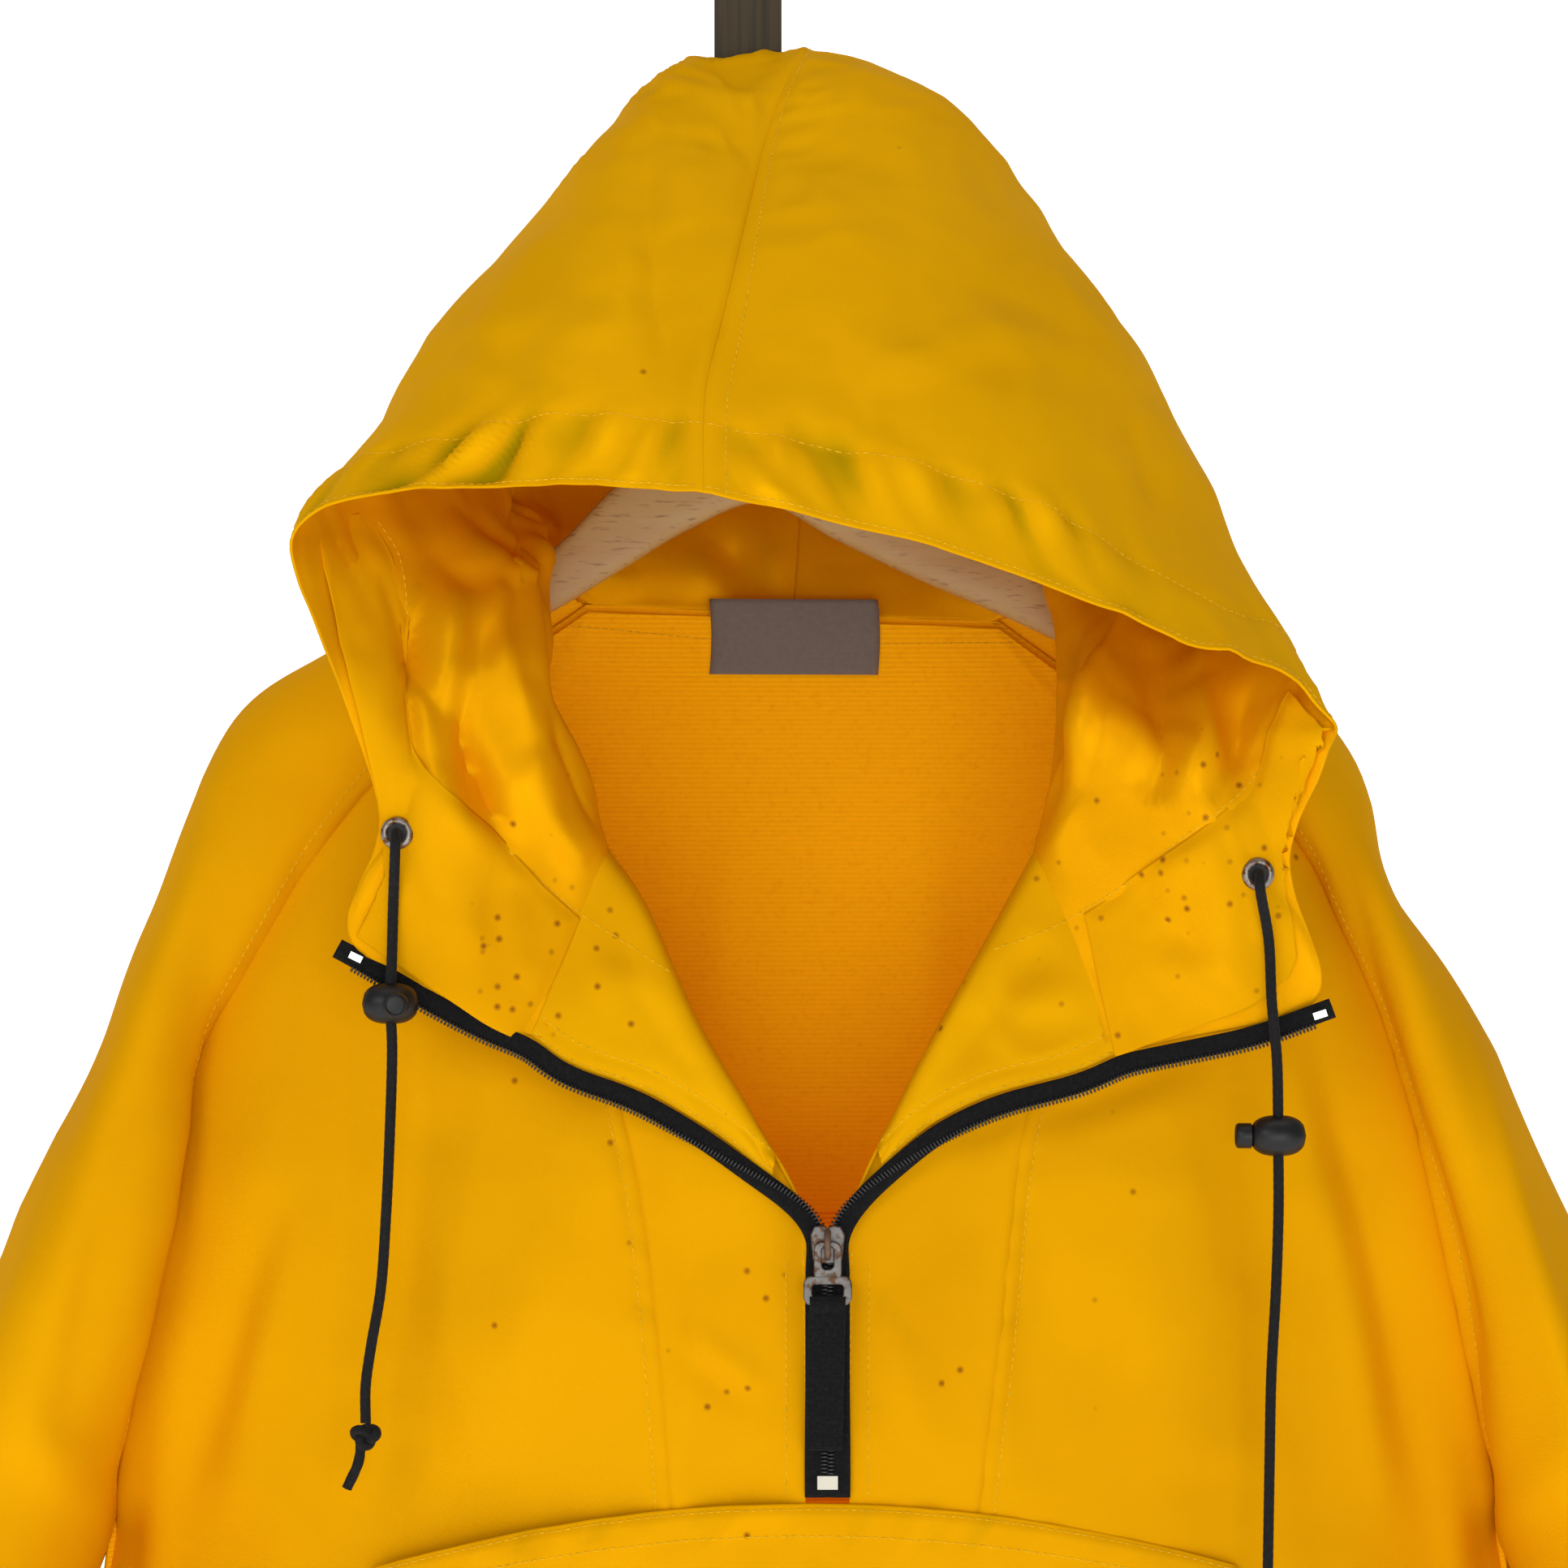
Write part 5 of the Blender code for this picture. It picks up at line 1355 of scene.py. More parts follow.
class AnorakMake(bpy.types.PropertyGroup):
    """Sizes of the cloth's detail, in metres."""

    mesh_step: FloatProperty(
        name="Mesh step", description="Distance between points on a front panel",
        default=0.0034, min=0.002, unit="LENGTH")
    hood_step: FloatProperty(
        name="Hood mesh step", description="Distance between points on the hood",
        default=0.0026, min=0.002, unit="LENGTH")
    back_step: FloatProperty(
        name="Back mesh step", description="Distance between points on sleeves and back",
        default=0.0050, min=0.002, unit="LENGTH")
    cloth_wall: FloatProperty(
        name="Cloth", description="Thickness of the shell cloth",
        default=0.0010, min=0.0002, unit="LENGTH")
    stitch_pitch: FloatProperty(
        name="Stitch", description="Length of one stitch with its gap",
        default=0.0031, min=0.001, unit="LENGTH")
    cord_width: FloatProperty(
        name="Cord", description="Diameter of the drawcord",
        default=0.0035, min=0.001, unit="LENGTH")


class AnorakStage(bpy.types.PropertyGroup):
    """Lights and floor."""

    key_power: FloatProperty(
        name="Key", description="Power of the large key light", default=13.2, unit="POWER")
    fill_power: FloatProperty(
        name="Fill", description="Power of the fill light", default=13.2, unit="POWER")
    top_power: FloatProperty(
        name="Top", description="Power of the top light", default=8.0, unit="POWER")
    sky: FloatProperty(name="Sky", description="Strength of the even light", default=0.30)
    floor_drop: FloatProperty(
        name="Floor drop", description="How far the floor lies below the bar's top",
        default=1.15, unit="LENGTH")


def look():
    return bpy.context.scene.anorak_look


def make():
    return bpy.context.scene.anorak_make


# ---------------------------------------------------------------- operators


class AnorakOperator:
    bl_options = {"REGISTER", "UNDO"}

    def execute(self, context):
        self.build(context)
        return {"FINISHED"}


def area_light(name, at, towards, size, power):
    data = bpy.data.lights.new(name, "AREA")
    data.shape = "RECTANGLE"
    data.size, data.size_y = size
    data.energy = power
    light = bpy.data.objects.new(name, data)
    light.location = at
    light.visible_camera = False
    light.rotation_euler = (Vector(towards) - Vector(at)).to_track_quat("-Z", "Y").to_euler()
    bpy.context.scene.collection.objects.link(light)


class ANORAK_OT_stage(AnorakOperator, bpy.types.Operator):
    """Finishes, camera, floor with a curved backdrop, and soft lights."""

    bl_idname = "anorak.stage"
    bl_label = "Stage"

    def build(self, context):
        cloth_finishes(look())
        fitting_finishes(look())
        settings = context.scene.anorak_stage
        context.scene.view_settings.view_transform = "Standard"
        data = bpy.data.cameras.new("camera")
        data.sensor_fit = "HORIZONTAL"
        data.angle = 2 * math.atan(CAMERA_SPAN / 2 / -CAMERA_AT[1])
        data.clip_end = 50.0
        camera = bpy.data.objects.new("camera", data)
        camera.location = CAMERA_AT
        camera.rotation_euler = (math.radians(90), 0, 0)
        context.scene.collection.objects.link(camera)
        context.scene.camera = camera
        self.backdrop(-settings.floor_drop)
        world = bpy.data.worlds.new("studio")
        world.use_nodes = True
        shade = world.node_tree.nodes["Background"]
        shade.inputs["Color"].default_value = (1.0, 1.0, 1.0, 1.0)
        shade.inputs["Strength"].default_value = settings.sky
        context.scene.world = world
        for name, at, towards, size in LIGHTS:
            area_light(name, at, towards, size, getattr(settings, f"{name}_power"))

    def backdrop(self, floor):
        """A floor that bends up into a wall behind."""
        start = BACKDROP_AT - BACKDROP_BEND
        profile = [(-FLOOR_HALF, floor), (start, floor)]
        for k in range(1, 13):
            angle = math.pi / 2 * k / 12
            profile.append((start + BACKDROP_BEND * math.sin(angle),
                            floor + BACKDROP_BEND * (1 - math.cos(angle))))
        profile.append((BACKDROP_AT, BACKDROP_TOP))
        points = [(x / MM, y / MM, z / MM) for x in (-FLOOR_HALF, FLOOR_HALF) for y, z in profile]
        mesh_piece("floor_sweep", points, grid_faces(2, len(profile)), "pale_floor")


class ANORAK_OT_hood(AnorakOperator, bpy.types.Operator):
    """Both halves of the hood with the gathered casing, its folds and crumples."""

    bl_idname = "anorak.hood"
    bl_label = "Hood"

    def build(self, context):
        for side, creases in ((LEFT, HOOD_CREASES_LEFT), (RIGHT, HOOD_CREASES_RIGHT)):
            panel = Panel(hood_grid(side, along=4), make().hood_step / MM, side.sign)
            peak = np.clip(panel.points[..., 2] - HOOD_TOP, 0.0, None)
            panel.points[..., 2] -= peak - peak / (1.0 + peak / 2.5)
            seen = grown(-panel.y - 20.0, 30.0) * panel.towards()
            panel.height += 1.25 * crease_relief(panel.x, panel.z, creases) * seen
            panel.soften((70.0, 3.0, 31), (30.0, 1.3, 32))
            self.gathers(panel)
            self.crumples(panel, 1.0 if side is LEFT else 0.55)
            panel.hold("bottom", "end", "top")
            panel.seam("bottom", roll=0.6)
            _, levels = neckline(side)
            level = np.interp(panel.cols, np.arange(len(levels)), levels)
            panel.tuck("top", 4.0, np.where(level < 2.0, 0.4, -1.4))
            panel.stain = stain_share(panel.x, panel.z)
            cloth_piece(f"hood_cloth_{side.label}", panel, "hood_cloth",
                        [f"hood_{side.label}"], inside="hood_inside")

    def crumples(self, panel, drawn_share):
        """Small folds: most of them at the crown, and drawn into long ones inside the neck."""
        crown = bell(panel.x + 8, 46.0) * bell(panel.z + 42, 36.0)
        panel.pucker(2.8 * crown * (crumple(panel.points, 12.0, 51) - 0.5), 0.4)
        panel.crumpled(42.0, 1.5, 61)
        panel.pucker(0.8 * (crumple(panel.points, 17.0, 63) - 0.5), 0.4)
        inside = grown(-panel.towards(), 1.0) * grown(-185.0 - panel.z, 30.0)
        inside *= grown(panel.edges["start"] - 16.0, 14.0, 0.15)
        inside *= drawn_share
        drawn = np.stack([panel.x + 0.25 * panel.z, panel.y, 0.42 * panel.z], axis=-1)
        panel.pucker(4.2 * inside * (crumple(drawn, 15.0, 62) - 0.45), 0.25)
        panel.height += 2.8 * inside * ripple(drawn, 21.0, 64)

    def gathers(self, panel):
        """Uneven puckers of the drawcord casing, bunched and slanted, and fading above its stitches."""
        off, along = panel.edges["start"], panel.edges["top"]
        lined = np.stack([along + 0.35 * off, 0.42 * off, 0.0 * off], axis=-1)
        sharp = 0.6 * ripple(lined, 7.5, 41)
        broad = 0.7 * ripple(lined, 11.5, 45) + 0.3 * ripple(lined, 19.0, 47)
        beside = np.stack([along, 0.0 * off, 0.0 * off], axis=-1)
        bunched = 0.75 + 0.35 * ripple(beside, 38.0, 46)
        band = grown(off, 5.0) * bell(np.clip(off - CASING_OFF + 3.0, 0, None), 7.0)
        band *= grown(panel.z + 225.0, 25.0, 0.22)
        panel.pucker(band * bunched * (4.2 * sharp + 6.6 * broad))
        panel.height -= 0.7 * bell(off - CASING_OFF, 2.2)


def stain_share(x, z):
    """How thickly the rust specks lie, from a table of patches."""
    total = np.full(x.shape, 0.004)
    for centre_x, centre_z, radius, share in STAINS:
        total += share * patch_share(x, z, centre_x, centre_z, radius)
    return total


class ANORAK_OT_fronts(AnorakOperator, bpy.types.Operator):
    """Centre and side panels of the front, with their drape."""

    bl_idname = "anorak.fronts"
    bl_label = "Fronts"

    def build(self, context):
        for side in (LEFT, RIGHT):
            limit = np.minimum if side is LEFT else np.maximum
            coarse = np.array([centre_row(side, row, 6) for row in BODY_ROWS])
            coarse[..., 0] = limit(coarse[..., 0], ZIP_X + side.sign * 0.4)
            below = coarse[UNDERARM_ROW:, :, 0]
            below[np.abs(below - ZIP_X) < 0.9] = ZIP_X + side.sign * 0.05
            self.panel(f"front_centre_cloth_{side.label}", coarse, side, ("end",),
                       [f"front_centre_{side.label}"], stitched=())
            coarse = np.array([side_row(side, row, 14) for row in BODY_ROWS])
            self.panel(f"front_side_cloth_{side.label}", coarse, side, ("start", "end"),
                       [f"front_side_{side.label}"], stitched=("start",))

    def panel(self, name, coarse, side, seams, nodes, stitched):
        panel = Panel(coarse, make().mesh_step / MM, side.sign * -1.0)
        panel.creased(FRONT_CREASES)
        panel.soften((110.0, 4.5, 71), (42.0, 1.5, 72))
        panel.crumpled(46.0, 1.4, 73)
        panel.height -= 2.2 * grown(-760.0 - panel.z, 60.0) * bell(panel.x - ZIP_X, 70.0)
        self.placket(panel, side)
        panel.hold("start", "end", "top")
        for edge in seams:
            if edge == "end":
                panel.tuck(edge)
            else:
                panel.seam(edge)
        for edge in stitched:
            panel.topstitch(edge, TOPSTITCH_OFF)
            panel.ladder(edge, 0.0, TOPSTITCH_OFF + 1.0, 6.0, 0.55)
        panel.stain = stain_share(panel.x, panel.z)
        cloth_piece(name, panel, "shell_cloth", nodes, inside="lining_knit")

    def placket(self, panel, side):
        """Slanted puckers beside the closed zip, and a strip of painted shade along each side of it, as far
        down as the pouch.
        """
        x, z = panel.x, panel.z
        above = grown(z + 660.0, 60.0)
        beside = bell(x - ZIP_X, 30.0) * grown(-440.0 - z, 20.0) * above
        slant = np.stack([x + 0.9 * side.sign * z, 0.25 * (z - side.sign * x), 0.0 * x], axis=-1)
        panel.pucker(1.5 * beside * (crumple(slant, 15.0, 74) - 0.45))
        # Painted shade: a strip on each side of the zip where the ridge share is lowered unevenly, so the
        # olive crease shade shows without relief.
        placket_shade = bell(np.abs(x - ZIP_X) - 11.0, 4.0) * grown(-452.0 - z, 12.0) * above
        panel.fine -= 0.8 * placket_shade * ripple(panel.points, (14.0, 14.0, 26.0), 76) + 0.5 * placket_shade


class ANORAK_OT_facings(AnorakOperator, bpy.types.Operator):
    """The turned-back fronts on both sides of the open zip."""

    bl_idname = "anorak.facings"
    bl_label = "Turned-back fronts"

    def build(self, context):
        for side in (LEFT, RIGHT):
            rows = np.linspace(0, FACING_END_ROW, 16)
            coarse = np.array([facing_row(side, row, 6) for row in rows])
            panel = Panel(coarse, FACING_STEP, -side.sign)
            panel.creased(FACING_CREASES)
            panel.soften((42.0, 2.2, 81))
            panel.pucker(1.8 * (crumple(panel.points, 21.0, 82) - 0.5), 0.25)
            panel.hold("start", "end", "top")
            panel.ladder("end", 1.0, 8.0, 6.0, 0.5)
            panel.seam("end", roll=0.4)
            panel.topstitch("end", TOPSTITCH_OFF)
            panel.stain = stain_share(panel.x, panel.z)
            cloth_piece(f"front_facing_cloth_{side.label}", panel, "hood_cloth",
                        [f"front_facing_{side.label}"])
            self.strip(side)

    def strip(self, side):
        """The facing that backs the hood's edge, sewn down on its inside."""
        lines = {
            "left": (STRIP_OUTER_LEFT, STRIP_INNER_LEFT),
            "right": (STRIP_OUTER_RIGHT, STRIP_INNER_RIGHT),
        }
        outer, inner = (even_flat(line, 60) for line in lines[side.label])
        surfaces = [SURFACES[f"{cloth}_cloth_{side.label}"] for cloth in ("hood", "front_facing")]
        rows = []
        for start, end in zip(outer, inner):
            row = []
            for share in np.linspace(0, 1, 14):
                x, z = start + (end - start) * share
                row.append(front_spot(surfaces, x, z, STRIP_FROM))
            rows.append(row)
        grid = np.array(rows)
        depth = grid[..., 1]
        for column in (3, 2, 1, 0):
            beside = depth[:, column + 1]
            depth[:, column] = np.clip(depth[:, column], beside - 1.6, beside + 1.6)
            above, below = depth[:-2, column], depth[2:, column]
            depth[1:-1, column] = (above + 2 * depth[1:-1, column] + below) / 4
        panel = Panel(grid, FACING_STEP, side.sign)
        panel.height += 1.9
        rim = np.minimum(panel.edges["end"], panel.edges["bottom"])
        panel.height -= 1.45 * bell(rim, 3.6)
        panel.pucker(1.3 * (crumple(panel.points, 17.0, 83) - 0.35), 0.25)
        panel.stain = stain_share(panel.x, panel.z)
        cloth_piece(f"hood_facing_cloth_{side.label}", panel, "shell_cloth", [], 0.8)


def even_flat(line, count):
    """A line in x and z as evenly spaced places."""
    line = np.array(line, float)
    run = run_along(line)
    return read_at(np.linspace(0, run[-1], count), run, line)


def front_spot(surfaces, x, z, ahead=AHEAD):
    """The first place behind a depth that the cloths show at x and z, or the nearest beside them."""
    spots = []
    for surface in surfaces:
        spot, _, _, _ = surface.ray_cast(Vector((x, ahead, z)), Vector((0, 1, 0)))
        if spot is not None:
            spots.append(spot)
    if not spots:
        nearest = [surface.find_nearest(Vector((x, -100.0, z)))[0] for surface in surfaces]
        spots = [min(nearest, key=lambda spot: (spot.x - x) ** 2 + (spot.z - z) ** 2)]
    return np.array(min(spots, key=lambda spot: spot.y))


class ANORAK_OT_pouch(AnorakOperator, bpy.types.Operator):
    """The kangaroo pouch with its curved top edge."""

    bl_idname = "anorak.pouch"
    bl_label = "Pouch"

    def build(self, context):
        panel = Panel(pouch_grid(), make().mesh_step / MM, -1.0)
        panel.creased(POUCH_CREASES)
        panel.soften((90.0, 2.4, 91), (34.0, 1.1, 92))
        panel.height = np.clip(panel.height + 0.8, 0.0, None)
        panel.ladder("top", 1.0, 12.0, 7.0, 0.9)
        panel.pucker(1.2 * (crumple(panel.points, 24.0, 94) - 0.5), 0.3)
        panel.height = np.clip(panel.height, 0.0, None)
        panel.seam("top", "bottom", "start", "end")
        panel.topstitch("top", 2.0)
        panel.topstitch("top", 11.0)
        panel.stain = stain_share(panel.x, panel.z)
        cloth_piece("pouch_cloth", panel, "shell_cloth", ["pouch_pocket"])


def pouch_grid():
    rows = []
    for level in np.arange(0, 4.01, 0.25):
        z, left, right = spline(np.array(POUCH, float), level)[0]
        row = []
        for share in np.linspace(0, 1, 25):
            x = left + (right - left) * share
            sag = POUCH_SAG * ((x - CENTRE_X) / POUCH_HALF) ** 2 * max(0.0, 1 - level / 2)
            row.append(on_front((x, z - sag)))
        rows.append(row)
    grid = np.array(rows)
    normal = normals_of(grid)
    return grid - normal * POUCH_OFF * np.sign(normal[..., 1:2])


class ANORAK_OT_back(AnorakOperator, bpy.types.Operator):
    """The back panel and the knitted lining that shows through the open neck."""

    bl_idname = "anorak.back"
    bl_label = "Back and lining"

    def build(self, context):
        coarse = np.array([back_row(row, 24) for row in BODY_ROWS])
        panel = Panel(coarse, make().back_step / MM, 1.0)
        panel.creased(BACK_CREASES)
        panel.soften((120.0, 4.5, 101), (44.0, 1.4, 102))
        panel.crumpled(44.0, 1.4, 103)
        panel.height = np.maximum(panel.height, -0.4 - 0.06 * np.maximum(-340.0 - panel.z, 0.0))
        panel.hold("start", "end", "top")
        panel.tuck("start")
        panel.tuck("end")
        cloth_piece("back_cloth", panel, "shell_cloth", ["back"], inside="lining_knit")
        self.lining()

    def lining(self):
        """The lining, just in front of the back and sagging a little lower down."""
        rows = np.linspace(LINING_TOP_ROW, LINING_ROWS, 24)
        coarse = np.array([back_row(row, 24) for row in rows])
        normal = normals_of(coarse)
        coarse -= normal * (LINING_OFF + 0.6) * np.sign(normal[..., 1:2])
        coarse[..., 1] -= 16.0 * grown(-290.0 - coarse[..., 2], 120.0) ** 1.5
        lining = Panel(coarse, make().mesh_step / MM, -1.0)
        lining.creased(LINING_CREASES)
        lining.soften((60.0, 1.6, 111))
        lining.height = np.maximum(lining.height, 0.0)
        lining.creased(LINING_SEAMS)
        lining.height += 1.0
        cloth_piece("lining_cloth", lining, "lining_knit", ["back_lining"], 0.8)


class ANORAK_OT_sleeves(AnorakOperator, bpy.types.Operator):
    """Raglan sleeves with long drape folds."""

    bl_idname = "anorak.sleeves"
    bl_label = "Sleeves"

    def build(self, context):
        for side, creases in ((LEFT, SLEEVE_CREASES_LEFT), (RIGHT, SLEEVE_CREASES_RIGHT)):
            coarse = np.array([sleeve_row(side, row, 28) for row in BODY_ROWS])
            panel = Panel(coarse, make().back_step / MM, side.sign * -1.0)
            panel.creased(creases)
            panel.soften((95.0, 4.5, 121), (40.0, 1.4, 122))
            panel.crumpled(44.0, 1.4, 123)
            panel.hold("start", "end", "top")
            panel.seam("start", roll=0.5)
            panel.topstitch("start", TOPSTITCH_OFF + 2.0)
            panel.ladder("start", 0.0, TOPSTITCH_OFF + 3.0, 7.0, 0.5)
            cloth_piece(f"sleeve_cloth_{side.label}", panel, "shell_cloth",
                        [f"sleeve_{side.label}"], inside="lining_knit")


class ANORAK_OT_label(AnorakOperator, bpy.types.Operator):
    """The blank neck label, folded in at its ends."""

    bl_idname = "anorak.label"
    bl_label = "Neck label"

    def build(self, context):
        low, high = cad_box("neck_label")
        middle, top = (low[0] + high[0]) / 2, high[2] + LABEL_RISE
        rows = []
        for down in np.linspace(0, LABEL[1], 15):
            row = []
            for across in np.linspace(-LABEL[0] / 2, LABEL[0] / 2, 31):
                x = middle + across + 0.8 * math.sin(down / 9.0)
                point = on_back((x, top - down - 0.004 * across))
                point[1] -= LINING_OFF + 3.4 + 0.5 * math.sin(across / 11.0) * down / LABEL[1]
                fold = max(0.0, abs(across) - LABEL[0] / 2 + 2.5) / 2.5
                point[1] += 1.2 * fold**2
                row.append(point)
            rows.append(row)
        grid = np.array(rows)
        piece = mesh_piece("neck_label_cloth", grid, grid_faces(*grid.shape[:2]), "label_weave")
        thicken(piece, LABEL_WALL, -1.0)
        as_piece(piece, GARMENT, ["neck_label"])
        line = [(spot + (0, -0.5, -1.6), (0, -1, 0)) for spot in grid[0]]
        dashes("neck_label_stitches", line, 2.6, 1.9, 0.45, "cream_thread")


def dashes(name, line, pitch, length, width, finish, body=GARMENT):
    """Stitches along a line of points and normals, as small raised threads."""
    spots = np.array([item[0] for item in line], float)
    ways = np.array([item[1] for item in line], float)
    run = run_along(spots)
    points, faces = [], []
    for start in np.arange(0.4, run[-1] - length, pitch):
        at = read_at(start + length * np.array(STITCH_SHARES), run, spots)
        up = read_at(start + length / 2, run, ways)
        up /= np.linalg.norm(up)
        ahead = at[3] - at[0]
        ahead /= np.linalg.norm(ahead)
        across = np.cross(ahead, up)
        base = len(points)
        points.append(at[0] - up * 0.1)
        for spot in at[1:3]:
            for a, u in ((1, 0.15), (0.5, 0.55), (-0.5, 0.55), (-1, 0.15)):
                points.append(spot + across * a * width / 2 + up * u * width)
        points.append(at[3] - up * 0.1)
        first, second, last = base + 1, base + 5, base + 9
        for j in range(3):
            faces.append((base, first + j + 1, first + j))
            faces.append((first + j, first + j + 1, second + j + 1, second + j))
            faces.append((second + j, second + j + 1, last))
        faces.append((base, first, second, last, second + 3, first + 3))
    as_piece(mesh_piece(name, points, faces, finish), body, [])


def laid_line(surfaces, route):
    """A line given in x and z, laid on the front of the named cloths."""
    spots = spline(np.array(route, float), np.linspace(0, len(route) - 1, 24 * len(route)))
    line = []
    for x, z in spots:
        hits = []
        for name in surfaces:
            spot, way, _, _ = SURFACES[name].ray_cast(Vector((x, AHEAD, z)), Vector((0, 1, 0)))
            if spot is not None:
                hits.append((spot.y, spot, way if way.y < 0 else -way))
        if hits:
            _, spot, way = min(hits, key=lambda hit: hit[0])
            line.append((np.array(spot) + np.array(way) * STITCH_LIFT, np.array(way)))
    return line


class ANORAK_OT_sewing(AnorakOperator, bpy.types.Operator):
    """Topstitching along the seams, the casing, the zip and the pouch."""

    bl_idname = "anorak.sewing"
    bl_label = "Sewing"

    def build(self, context):
        for name, cloth, edge, offset in EDGE_STITCHES:
            line = PANELS[cloth].offset_line(edge, offset)
            self.seam(name, [(spot + way * STITCH_LIFT, way) for spot, way in line])
        for name, surfaces, route in LAID_STITCHES:
            self.seam(name, laid_line(surfaces, route))

    def seam(self, name, line):
        pitch = make().stitch_pitch / MM
        dashes(name, line, pitch, pitch * 0.78, STITCH_WIDTH, "yellow_thread")


def eased(route, reach):
    """The route with its corners rounded off; both ends stay."""
    weight = np.exp(-np.linspace(-2.0, 2.0, 2 * reach + 1) ** 2)
    weight /= weight.sum()
    before = 2 * route[0] - route[reach:0:-1]
    after = 2 * route[-1] - route[-2:-reach - 2:-1]
    padded = np.vstack([before, route, after])
    return np.stack([np.convolve(padded[:, k], weight, "valid") for k in range(3)], axis=1)


class ANORAK_OT_zip(AnorakOperator, bpy.types.Operator):
    """Zip tapes, coil teeth and stops."""

    bl_idname = "anorak.zip"
    bl_label = "Zip"

    def build(self, context):
        for side in (LEFT, RIGHT):
            route = settled(eased(even_route(zip_route(side), 2.0), 7))
            route[:, 1] -= 0.8
            route = np.vstack([route[0] - (route[1] - route[0]) * 1.6, route])
            along = np.gradient(route, axis=0)
            along /= np.linalg.norm(along, axis=1, keepdims=True)
            across = np.cross(along, (0.0, -1.0, 0.0))
            across /= np.linalg.norm(across, axis=1, keepdims=True)
            self.tape(side, route, across)
            self.teeth(side, route, along, across)
        for node, finish in (("zip_top_stop_left", "stop_silver"),
                             ("zip_top_stop_right", "stop_silver"),
                             ("zip_bottom_stop", "stop_cream")):
            recolour(node, finish)

    def tape(self, side, route, across):
        """The tape, a little wider below the slider, where the coils are closed."""
        shares = np.linspace(-1, 1, 7)
        rows = []
        for spot, way in zip(route, across):
            row = []
            half = TAPE_WIDTH / 2 + 0.7 * grown(SLIDER_AT[2] - spot[2], 8.0)
            for share in shares:
                point = spot + way * share * half
                point[1] -= 0.5 * (1 - share**2)
                row.append(point)
            rows.append(row)
        tape = mesh_piece(f"zip_tape_cloth_{side.label}", rows,
                          grid_faces(len(rows), len(shares)), "zip_tape")
        thicken(tape, TAPE_WALL)
        as_piece(tape, GARMENT, [f"zip_tape_{side.label}"])

    def teeth(self, side, route, along, across):
        """One loop of the coil after another, along the free edge and under the slider."""
        closed = route[:, 2] < SLIDER_AT[2]
        turn = np.clip((SLIDER_AT[2] + 48.0 - route[:, 2]) / 44.0, 0.0, 1.0)
        turn = turn * turn * (3 - 2 * turn)
        free = TAPE_WIDTH / 2 + 0.3
        lane = np.where(closed, -(TAPE_HALF - 1.4), free * (1 - 2 * turn))
        run = run_along(route)
        lane = lane * (1.0 if side is LEFT else -1.0)
        points = []
        for at in np.arange(8.0, run[-1] - 8.0, TOOTH_PITCH):
            spot, way, ahead = (read_at(at, run, values) for values in (route, across, along))
            centre = spot + way * np.interp(at, run, lane) + np.array((0.0, -1.0, 0.0))
            for step, scale in TOOTH_RINGS:
                for angle in np.arange(TOOTH_SIDES) * 2 * math.pi / TOOTH_SIDES:
                    offset = ahead * math.cos(angle) * 0.47
                    offset[1] -= math.sin(angle) * 0.75
                    points.append(centre + way * step + offset * scale)
        tooth = np.array(grid_faces(len(TOOTH_RINGS), TOOTH_SIDES, closed=True))
        cap = np.arange(TOOTH_SIDES)
        last = (len(TOOTH_RINGS) - 1) * TOOTH_SIDES + cap[::-1]
        faces = []
        for base in range(0, len(points), len(TOOTH_RINGS) * TOOTH_SIDES):
            faces += (tooth + base).tolist() + [(cap + base).tolist(), (last + base).tolist()]
        coil = mesh_piece(f"zip_coil_{side.label}", points, faces, "coil_teeth")
        as_piece(coil, GARMENT, [])


